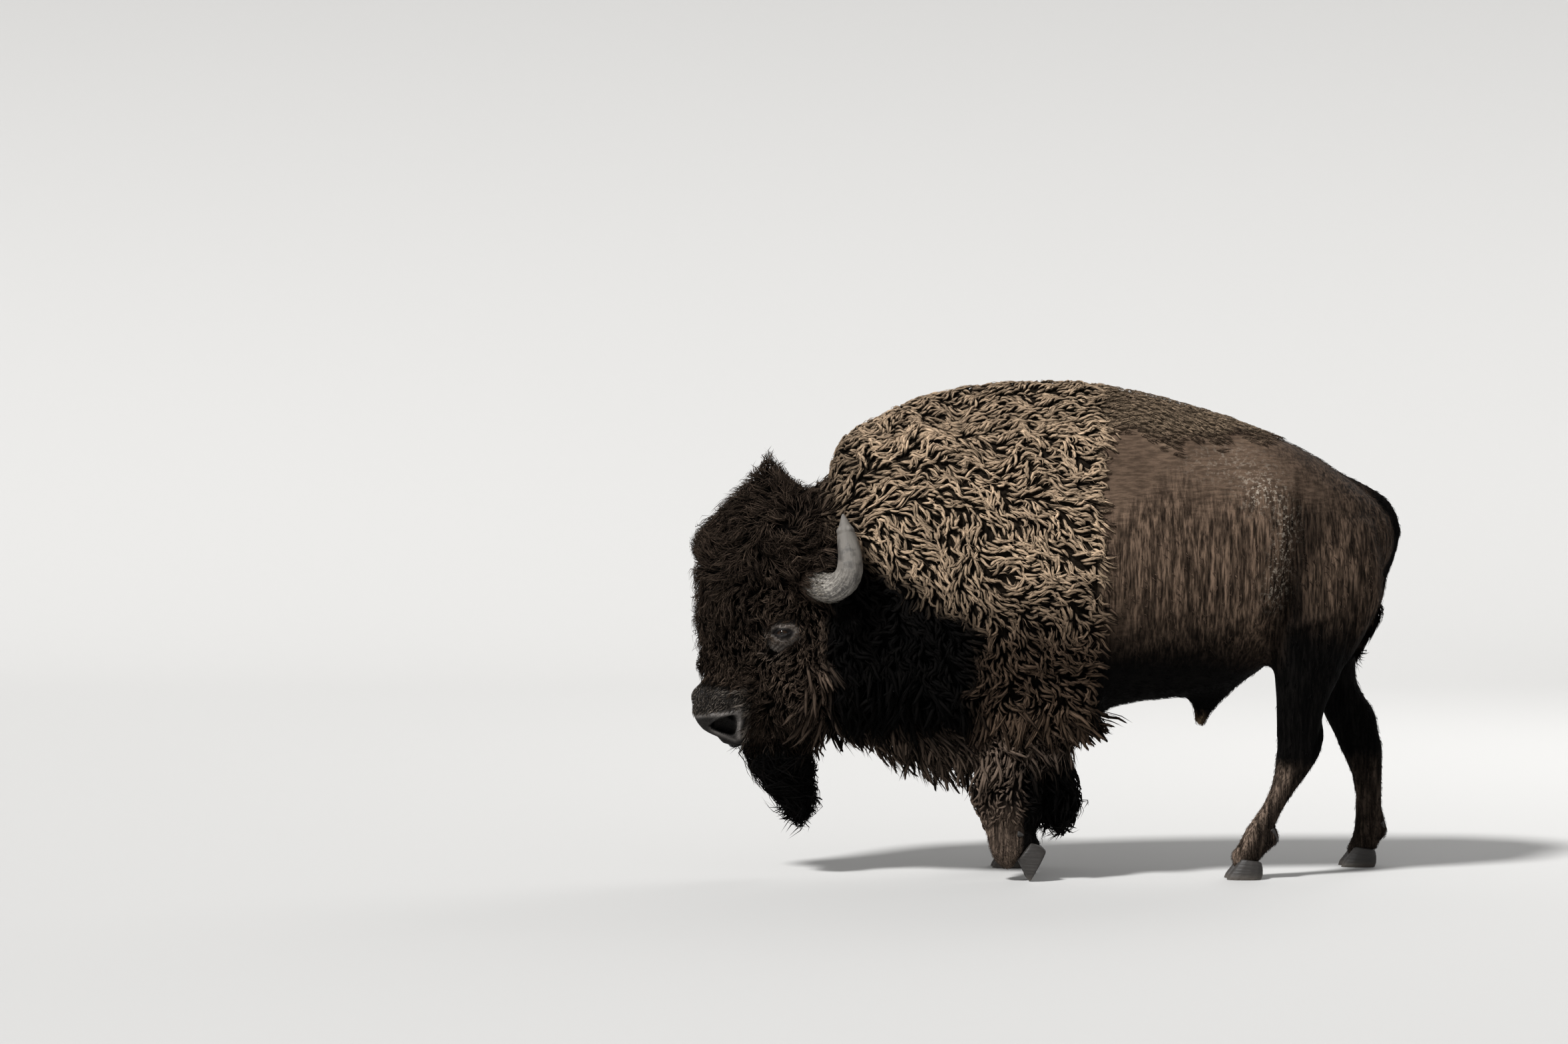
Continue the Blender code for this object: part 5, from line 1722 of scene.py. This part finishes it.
def make_lids(side):
    """
    The lids. The opening's half width is 25 mm along, and it is 12.5 mm high over the middle and 8.8 mm
    under it, sharpened to corners. LID_ROWS run from inside the opening over the thick edge, the bulge over
    the ball and the folds, down to the skin.
    """
    middle, ahead, rise, out = eye_frame(side)
    a = AROUND
    upper = step(-0.15, 0.15, np.sin(a))
    corner = np.abs(np.cos(a)) ** 4
    open_along = 0.0250 * np.cos(a)
    open_up = np.sin(a) * (0.0125 * upper + 0.0088 * (1 - upper)) * (1 - 0.45 * corner)
    open_up = open_up - 0.10 * open_along
    edge = np.stack([open_along, open_up], 1)
    outer = np.stack([0.086 * np.cos(a), 0.078 * np.sin(a) - 0.008], 1)
    flat = edge[None] + (outer - edge)[None] * LID_ROWS[:, None, None]
    along, height_up = flat[..., 0], flat[..., 1]
    run = np.hypot(along, height_up)
    ball = np.sqrt(np.maximum((EYE_RADIUS + 0.0012) ** 2 - run**2, 0.0))
    t = LID_ROWS[:, None]
    over = 0.0035 * bell(t - 0.05, 0.05) + 0.0015
    arc = np.hypot(along / 0.056, (height_up + 0.002) / 0.029)
    bag = np.hypot(along / 0.050, height_up / 0.032)
    over_eye = 0.0070 * bell(arc - 1.0, 0.17) - 0.0045 * bell(arc - 0.66, 0.10)
    fold = upper * (over_eye + 0.003 * bell(arc - 1.5, 0.1))
    fold = fold + (1 - upper) * (0.0040 * bell(bag - 0.95, 0.14) - 0.0030 * bell(bag - 0.68, 0.08))
    fold = fold + 0.0013 * np.sin(34 * arc + 3 * np.cos(a)) * step(0.75, 1.1, arc)
    fold = fold + 0.0010 * np.sin(9 * a + 14 * t) * step(0.15, 0.3, t)
    dome = np.maximum(ball, 0.010) + over - 0.006 * step(0.0, -0.08, t)
    start_points = middle + flat[..., :1] * ahead + flat[..., 1:] * rise + dome[..., None] * out
    shape = start_points.shape
    height, normal = ground(start_points.reshape(-1, 3))
    landed = start_points.reshape(-1, 3) - normal * (height - 0.004)[:, None]
    landed = landed.reshape(shape) - out * (0.010 * step(0.8, 1.0, t))[..., None]
    share = step(0.16, 0.70, t)[..., None]
    points = start_points * (1 - share) + landed * share + fold[..., None] * out
    made = tube_mesh(f"eyelids_{side}", points)
    set_values(made, "rim", step(1.15, 0.85, np.hypot(along / 0.038, (height_up - 0.001) / 0.0165)).ravel())
    # the fold value is a painted highlight: pale on the ridges of the folds over and under the eye, and on a
    # creased patch below it
    below = bell(along - 0.018, 0.040) * bell(height_up + 0.046, 0.034) * (1 - upper)
    crease = 0.55 + 0.45 * np.sin(260 * (height_up + 0.9 * along) + 3 * np.cos(2 * a))
    lift = 1.2 * bell(arc - 1.0, 0.20) * upper + 0.5 * bell(bag - 1.0, 0.20) * (1 - upper)
    set_values(made, "fold", np.clip(lift + 0.8 * below * crease, 0, 1).ravel())
    # a face at the opening and one further out tell which way the surface looks
    if max(made.data.polygons[k].normal @ Vector(out) for k in (0, 400)) < 0:
        made.data.flip_normals()
    return made


# %% Eyes
ball_material, shader, start = new_material("eye", 0.06)
shader.inputs["Coat Weight"].default_value = 0.28
shader.inputs["Coat Roughness"].default_value = 0.03
shader.inputs["Specular IOR Level"].default_value = 0.15
sight = start.stored("sight")
pupil = start.stored("pupil")
grain = start.place().noise(420.0, 3.0)
iris = (grain * 0.9).mixed((0.006, 0.0035, 0.002), (0.030, 0.015, 0.008))
ball_colour = sight.between(0.80, 0.95).mixed(iris, (0.030, 0.022, 0.018))
feed(shader, "Base Color", pupil.mixed(ball_colour, (0.002, 0.002, 0.002)))

lid_material, shader, start = new_material("eyelid", 0.5)
shader.inputs["Specular IOR Level"].default_value = 0.12
rim = start.stored("rim")
fold = start.stored("fold")
wrinkle = start.place().noise(150.0, 5.0, 0.65)
# painted highlight: the lids turn pale where the fold value is high, on the ridges of the folds
lid_tone_and_highlight = (fold * (0.5 + 1.3 * wrinkle)).clamped().mixed((0.010, 0.008, 0.007), (0.175, 0.152, 0.134))
feed(shader, "Base Color", (rim * 0.9).mixed(lid_tone_and_highlight, (0.006, 0.005, 0.005)))
feed(shader, "Roughness", 0.70 - 0.30 * rim)
bumped(shader, wrinkle, 0.9, 0.004)

eyes = []
for side in ("left", "right"):
    ball, lids = make_eyeball(side), make_lids(side)
    ball.data.materials.append(ball_material)
    lids.data.materials.append(lid_material)
    eyes.append((side, ball, lids))
print("eyes", [len(ball.data.vertices) + len(lids.data.vertices) for _, ball, lids in eyes], "points")

# %% Hair on the lids
LID_HAIRS = 1100


def one_bundle(form, parts):
    """The hairs of several parts, each (line, up, width, tone, place), as one bundle."""
    return [Bundle(form, *map(np.concatenate, zip(*parts)))]


def lid_hair(lids, side, seed):
    """Short hair on the lids, leaning away from the opening and backwards; the wet rim stays bare."""
    chance = np.random.default_rng(seed)
    middle, ahead, rise, out = eye_frame(side)
    q, normal = points_of(lids), normals_of(lids)
    normal = normal * np.sign(normal @ out)[:, None]
    off = q - middle
    far = np.hypot(off @ ahead / 0.044, off @ rise / 0.021)
    able = np.flatnonzero((far > 1.0) & (np.hypot(off @ ahead / 0.072, off @ rise / 0.070) < 1.0))
    chosen = chance.choice(able, LID_HAIRS)
    q = q[chosen] + chance.normal(0, 0.0012, (LID_HAIRS, 3))
    normal = normal[chosen]
    away = unit(flattened(off[chosen] - 0.012 * ahead, normal))
    heading = unit(away + 0.30 * normal + chance.normal(0, 0.30, q.shape))
    length = chance.uniform(0.007, 0.015, len(q))[:, None, None]
    run = GRAIN.run[None, :, None]
    line = (q - 0.001 * normal)[:, None] + heading[:, None] * length * run
    line = line - normal[:, None] * length * 0.3 * run**2
    up = np.repeat(normal[:, None], len(GRAIN.run), axis=1)
    return line, up, chance.uniform(0.0012, 0.0020, len(q)), chance.uniform(0, 1, len(q)), np.zeros(len(q))


both = [lid_hair(lids, side, 1200 + k) for k, (side, _, lids) in enumerate(eyes)]
coat("lid_hair", dark_hair, one_bundle(GRAIN, both), flat=0.5, axis=2)

# %% [markdown]
# ## Horns
# A horn is a tube whose radius shrinks along a smooth line. Old bulls wear theirs down: the base is rough
# and ringed, the sides are scuffed grey, and near the tip a collar of splinters stands where the outer
# sheath has broken back from the slim new point.

# %% The line of a horn
HORN_RADIUS = 0.050
HORN_ROWS, HORN_COLUMNS = 130, 48
RUFF_COLUMNS = 96
# x, y, z, and the radius as a share of HORN_RADIUS, from root to tip
HORN_LINE = np.array((
    (-0.880, -0.120, 1.085, 0.80), (-0.852, -0.205, 1.070, 0.94), (-0.806, -0.285, 1.056, 1.00),
    (-0.762, -0.342, 1.068, 0.98), (-0.732, -0.370, 1.112, 0.94), (-0.728, -0.366, 1.165, 0.86),
    (-0.737, -0.350, 1.220, 0.75), (-0.744, -0.341, 1.258, 0.60), (-0.748, -0.332, 1.290, 0.38),
    (-0.752, -0.322, 1.318, 0.09),
))


def smooth_line(rows, count):
    """Points on the cubic curve that passes through the rows, with even steps between rows."""
    rows = np.asarray(rows, float)
    ends = np.concatenate([[2 * rows[0] - rows[1]], rows, [2 * rows[-1] - rows[-2]]])
    place = np.linspace(0, len(rows) - 1, count)
    k = np.minimum(place.astype(int), len(rows) - 2)
    t = (place - k)[:, None]
    a, b, c, d = (ends[k + j] for j in range(4))
    return 0.5 * (2 * b + (c - a) * t + (2 * a - 5 * b + 4 * c - d) * t**2 + (3 * b - a - 3 * c + d) * t**3)


def tube_points(line, radius, columns):
    """Rings of points round a line: the middle, plus radius(row, turn) times a turning unit vector."""
    ahead = unit(np.gradient(line, axis=0))
    side = np.empty_like(line)
    side[0] = unit(np.cross(ahead[0], UP))
    for row in range(1, len(line)):
        side[row] = unit(side[row - 1] - ahead[row] * (side[row - 1] @ ahead[row]))
    over = np.cross(side, ahead)
    a = turns(columns)
    ring = np.cos(a)[None, :, None] * side[:, None] + np.sin(a)[None, :, None] * over[:, None]
    return line[:, None] + ring * radius[..., None]


def horn_middle(side):
    """The middle line of one horn and its radius, from root to tip."""
    rows = smooth_line(HORN_LINE, HORN_ROWS)
    line = rows[:, :3] + (SHIFT, 0.0, 0.0)
    if side == "right":
        line = line * (1, -1, 1)
    return line, HORN_RADIUS * rows[:, 3:]


def ruff(count, first, last, steps, lift, width, seed):
    """
    Strands that lie along each horn, count of them. They start between the rows first and last, run over
    about steps rows, and stand off it by lift x run.
    """
    chance = np.random.default_rng(seed)
    parts = []
    for side in ("left", "right"):
        line, radius = horn_middle(side)
        tube = tube_points(line, radius * np.ones((1, RUFF_COLUMNS)), RUFF_COLUMNS)
        row = chance.uniform(first, last, count)[:, None]
        rows = row + chance.uniform(0.6, 1.2, count)[:, None] * steps * STRAND.run
        rows = np.minimum(rows, len(line) - 2).astype(int)
        turn = chance.integers(0, RUFF_COLUMNS, count)[:, None]
        turn = turn + chance.normal(0, 3.0, count)[:, None] * STRAND.run
        turn = turn.astype(int) % RUFF_COLUMNS
        out = tube[rows, turn] - line[rows]
        raised = 0.99 + lift * chance.uniform(0.3, 1.2, count)[:, None] * STRAND.run
        points = line[rows] + out * raised[:, :, None] + chance.normal(0, 0.0008, out.shape)
        tone = chance.uniform(0, 1, count)
        parts.append((points, unit(out), np.full(count, width), tone, np.zeros(count)))
    return one_bundle(STRAND, parts)


# %% Horns


def make_horn(side):
    """Rings along the line: radius times 1 + ridges that fade from the base, + splinters at the collar."""
    line, base_radius = horn_middle(side)
    t = np.linspace(0, 1, len(line))[:, None]
    a = turns(HORN_COLUMNS)[None]
    seed = 1.0 if side == "left" else 2.3
    ridge = 0.020 * np.sin(150 * t + 1.2 * np.sin(a * 2 + seed)) * step(0.62, 0.25, t)
    lump = 0.030 * np.sin(3 * a + 9 * t + seed) + 0.018 * np.sin(7 * a - 21 * t)
    lump = lump * step(0.95, 0.5, t)
    collar = step(0.750, 0.790, t) * step(0.840, 0.805 + 0.018 * np.sin(5 * a + seed), t)
    splinter = 0.20 * collar * (0.65 + 0.5 * np.sin(4 * a + seed) + 0.25 * np.sin(11 * a + 2 * seed))
    step_in = -0.10 * step(0.830, 0.860, t) * step(1.0, 0.93, t)
    radius = base_radius * (1 + ridge + lump + splinter + step_in)
    grid = tube_points(line, radius, HORN_COLUMNS)
    tip = grid[-1].mean(0) + unit(line[-1] - line[-4]) * 0.004
    points = np.concatenate([grid.reshape(-1, 3), [grid[0].mean(0)], [tip]])
    faces = strip_faces(HORN_ROWS, HORN_COLUMNS).tolist()
    last = (HORN_ROWS - 1) * HORN_COLUMNS
    foot, point = last + HORN_COLUMNS, last + HORN_COLUMNS + 1
    caps = [((k + 1) % HORN_COLUMNS, k, foot) for k in range(HORN_COLUMNS)]
    caps += [(last + k, last + (k + 1) % HORN_COLUMNS, point) for k in range(HORN_COLUMNS)]
    mesh = bpy.data.meshes.new(f"horn_{side}_sheath")
    mesh.from_pydata(points.tolist(), [], faces + caps)
    mesh.polygons.foreach_set("use_smooth", np.ones(len(mesh.polygons), bool))
    obj = placed(mesh.name, mesh)
    run = np.append(np.repeat(t.ravel(), HORN_COLUMNS), (0.0, 1.0))
    set_values(obj, "run", run)
    # under is 1 on the lower side of the horn, where the shader paints shade
    under = np.append((grid[:, :, 2] - line[:, None, 2]).ravel(), (0, 0))
    set_values(obj, "under", step(0.3, -0.9, under / HORN_RADIUS))
    round_it = np.append(np.tile(a.ravel(), len(line)), (0.0, 0.0))
    set_values(obj, "grain", np.column_stack([4 * np.cos(round_it), 4 * np.sin(round_it), 7 * run]))
    return outward(obj)


horn_material, shader, start = new_material("horn", 0.5)
run = start.stored("run")
under = start.stored("under")
place = start.place()
blotch = place.noise(22.0, 6.0, 0.62)
scuff = place.noise(120.0, 5.0, 0.7)
fibre = start.stored("grain", VECTOR).noise(2.2, 5.0, 0.65)
scuff = 0.45 * scuff + 0.55 * fibre
base_rough = run.between(0.56, 0.30)
worn = (0.25 + 1.1 * blotch.between(0.36, 0.66) + 0.45 * run.between(0.72, 0.86)).clamped()
horn_colour = worn.mixed((0.036, 0.032, 0.028), (0.135, 0.122, 0.106))
# painted shade: darker on the horn's underside
horn_colour = (under * 0.65).mixed(horn_colour, (0.045, 0.041, 0.037))
pale_dust = (base_rough * scuff.between(0.48, 0.58)).mixed(horn_colour, (0.28, 0.258, 0.225))
dark_pit = (base_rough * scuff.between(0.48, 0.40) * 0.9).mixed(pale_dust, (0.045, 0.040, 0.035))
feed(shader, "Base Color", dark_pit)
feed(shader, "Roughness", 0.42 + 0.25 * worn - 0.12 * under)
bumped(shader, scuff * (0.25 + 1.3 * base_rough) + fibre * 0.6, 0.6, 0.004)
horns = {side: make_horn(side) for side in ("left", "right")}
for horn in horns.values():
    horn.data.materials.append(horn_material)
fray = ruff(420, first=12, last=30, steps=9, lift=0.10, width=0.0026, seed=1301)
coat("horn_fray", cape_hair, fray, flat=0.4, colour=(0.26, 0.235, 0.20))
tuft = ruff(500, first=3, last=14, steps=15, lift=0.34, width=0.0032, seed=1302)
coat("horn_ruff", dark_hair, tuft, flat=0.5, colour=HEAD * 0.9)

# %% [markdown]
# ## Ears
# The ears hang low behind the horns, half lost in the hair: a cupped leaf with its edges turned in.

# %% Ears
EAR_ROOT = np.array((-0.790 + SHIFT, -0.200, 0.985))
EAR_WAY = unit(np.array((0.52, -0.80, -0.30)))
EAR_LENGTH = 0.148
EAR_HAIRS = 480


def make_ear(side):
    """A leaf of half width 38 mm sin(pi t^0.8)^0.8 that is cupped by 9 off^2, thinner towards its tip."""
    t = np.linspace(0.0, 1.0, 40)[:, None]
    a = turns(40)[None]
    half = 0.038 * np.sin(math.pi * np.clip(t, 0.0, 1.0) ** 0.8) ** 0.8 + 0.0006
    thick = 0.0045 * (1 - 0.6 * t) * np.minimum(1, half / 0.012) + 0.0004
    across_leaf = half * np.cos(a)
    cup = 9.0 * across_leaf**2
    front = cup + thick * np.sin(a) * (1 + 0.5 * np.abs(np.cos(a)))
    back = unit(np.cross(EAR_WAY, np.array((0.25, 0.0, 1.0))))
    wide = unit(np.cross(back, EAR_WAY))
    points = (
        EAR_ROOT + (EAR_LENGTH * t * np.ones_like(a))[..., None] * EAR_WAY
        + across_leaf[..., None] * wide - front[..., None] * back
    )
    if side == "right":
        points = points * (1, -1, 1)
    made = tube_mesh(f"ear_{side}_leaf", points)
    with editing(made) as bm:
        bmesh.ops.holes_fill(bm, edges=[e for e in bm.edges if e.is_boundary], sides=0)
    # half the head's colour and a low lit: painted shade on the ear, which hangs in the dark behind the horn
    in_dark_hair(made, np.tile(HEAD * 0.5, (len(made.data.vertices), 1)), 0.3, (250.0, 60.0, 250.0))
    return outward(made)


ears = {side: make_ear(side) for side in ("left", "right")}


def ear_hair(ear, seed):
    """Strands over the leaf: each leans from the normal towards the ear's tip, and droops a little."""
    chance = np.random.default_rng(seed)
    q, normal = points_of(ear), normals_of(ear)
    chosen = chance.choice(len(q), EAR_HAIRS, replace=False)
    q, normal = q[chosen], normal[chosen]
    way = EAR_WAY * (1, -np.sign(q[0, 1]), 1)
    heading = unit(way + 0.45 * normal + chance.normal(0, 0.25, q.shape))
    length = chance.uniform(0.022, 0.048, len(q))[:, None, None]
    run = STRAND.run[None, :, None]
    line = (q - 0.002 * normal)[:, None] + heading[:, None] * length * run - UP * length * 0.45 * run**2
    up = np.repeat(normal[:, None], len(STRAND.run), axis=1)
    return line, up, chance.uniform(0.0026, 0.0042, len(q)), chance.uniform(0, 1, len(q)), np.zeros(len(q))


both = [ear_hair(ears[side], seed) for side, seed in (("left", 1111), ("right", 1112))]
coat("ear_hair", dark_hair, one_bundle(STRAND, both), flat=0.5)

# %% [markdown]
# ## Hooves
# Each hoof and dewclaw is its solid, remeshed and smoothed, with growth rings rippled round it.

# %% Hooves
HOOF_VOXEL, CLAW_VOXEL = 0.0036, 0.0028
hoof_material, shader, start = new_material("hoof", 0.5)
place = start.place()
rings = place.stretched((12.0, 12.0, 150.0)).noise(1.0, 4.0, 0.55)
chips = place.noise(90.0, 4.0, 0.7)
height = place.node("SeparateXYZ", None, 2, Vector=place)
hoof_colour = (0.2 + 0.9 * rings * chips).clamped().mixed((0.008, 0.007, 0.0065), (0.042, 0.036, 0.031))
dirt = (height.between(0.030, 0.0) * (0.35 + 0.8 * chips)).clamped()
feed(shader, "Base Color", (dirt * 0.6).mixed(hoof_colour, (0.11, 0.092, 0.074)))
feed(shader, "Roughness", 0.42 + 0.35 * chips)
bumped(shader, rings + 0.5 * chips, 0.6, 0.003)
hooves = {}
for name in nodes:
    if not name.startswith(("hoof_", "dewclaw_")):
        continue
    hoof = remeshed(joined([name]), HOOF_VOXEL if name.startswith("hoof") else CLAW_VOXEL)
    hoof.name = hoof.data.name = name + "_horn"
    q = relaxed(points_of(hoof), edges_of(hoof), 0.5, 5)
    set_points(hoof, q)
    ripple = np.sin(q[:, 2] * 520 + 30 * q[:, 0]) * 0.00022 * step(0.010, 0.022, q[:, 2])
    set_points(hoof, q + normals_of(hoof) * ripple[:, None])
    hoof.data.materials.clear()
    hoof.data.materials.append(hoof_material)
    hooves[name] = hoof
print("hooves and dewclaws", len(hooves), "points", sum(len(h.data.vertices) for h in hooves.values()))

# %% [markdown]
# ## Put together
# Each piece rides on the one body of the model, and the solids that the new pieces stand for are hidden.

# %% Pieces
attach(skin, "root")
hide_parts(*FLESH)
for name, core in cores.items():
    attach(core, "root")
    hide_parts(name)
for piece in coat_pieces:
    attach(piece, "root")
    kind = "cape" if piece.name.startswith("cape") else "dark_hair"
    kind = "horn" if piece.name.startswith("horn_fray") else kind
    "short_coat" if piece.name.startswith("short") else kind
for name, hoof in hooves.items():
    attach(hoof, "root")
    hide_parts(name)
for side, ball, lids in eyes:
    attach(ball, "root")
    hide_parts(f"eye_{side}")
    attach(lids, "root")
for side in ("left", "right"):
    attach(horns[side], "root")
    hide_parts(f"horn_{side}")
    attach(ears[side], "root")
    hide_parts(f"ear_{side}")

# %% Sizes
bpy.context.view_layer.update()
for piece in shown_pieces():
    piece.data.calc_loop_triangles()
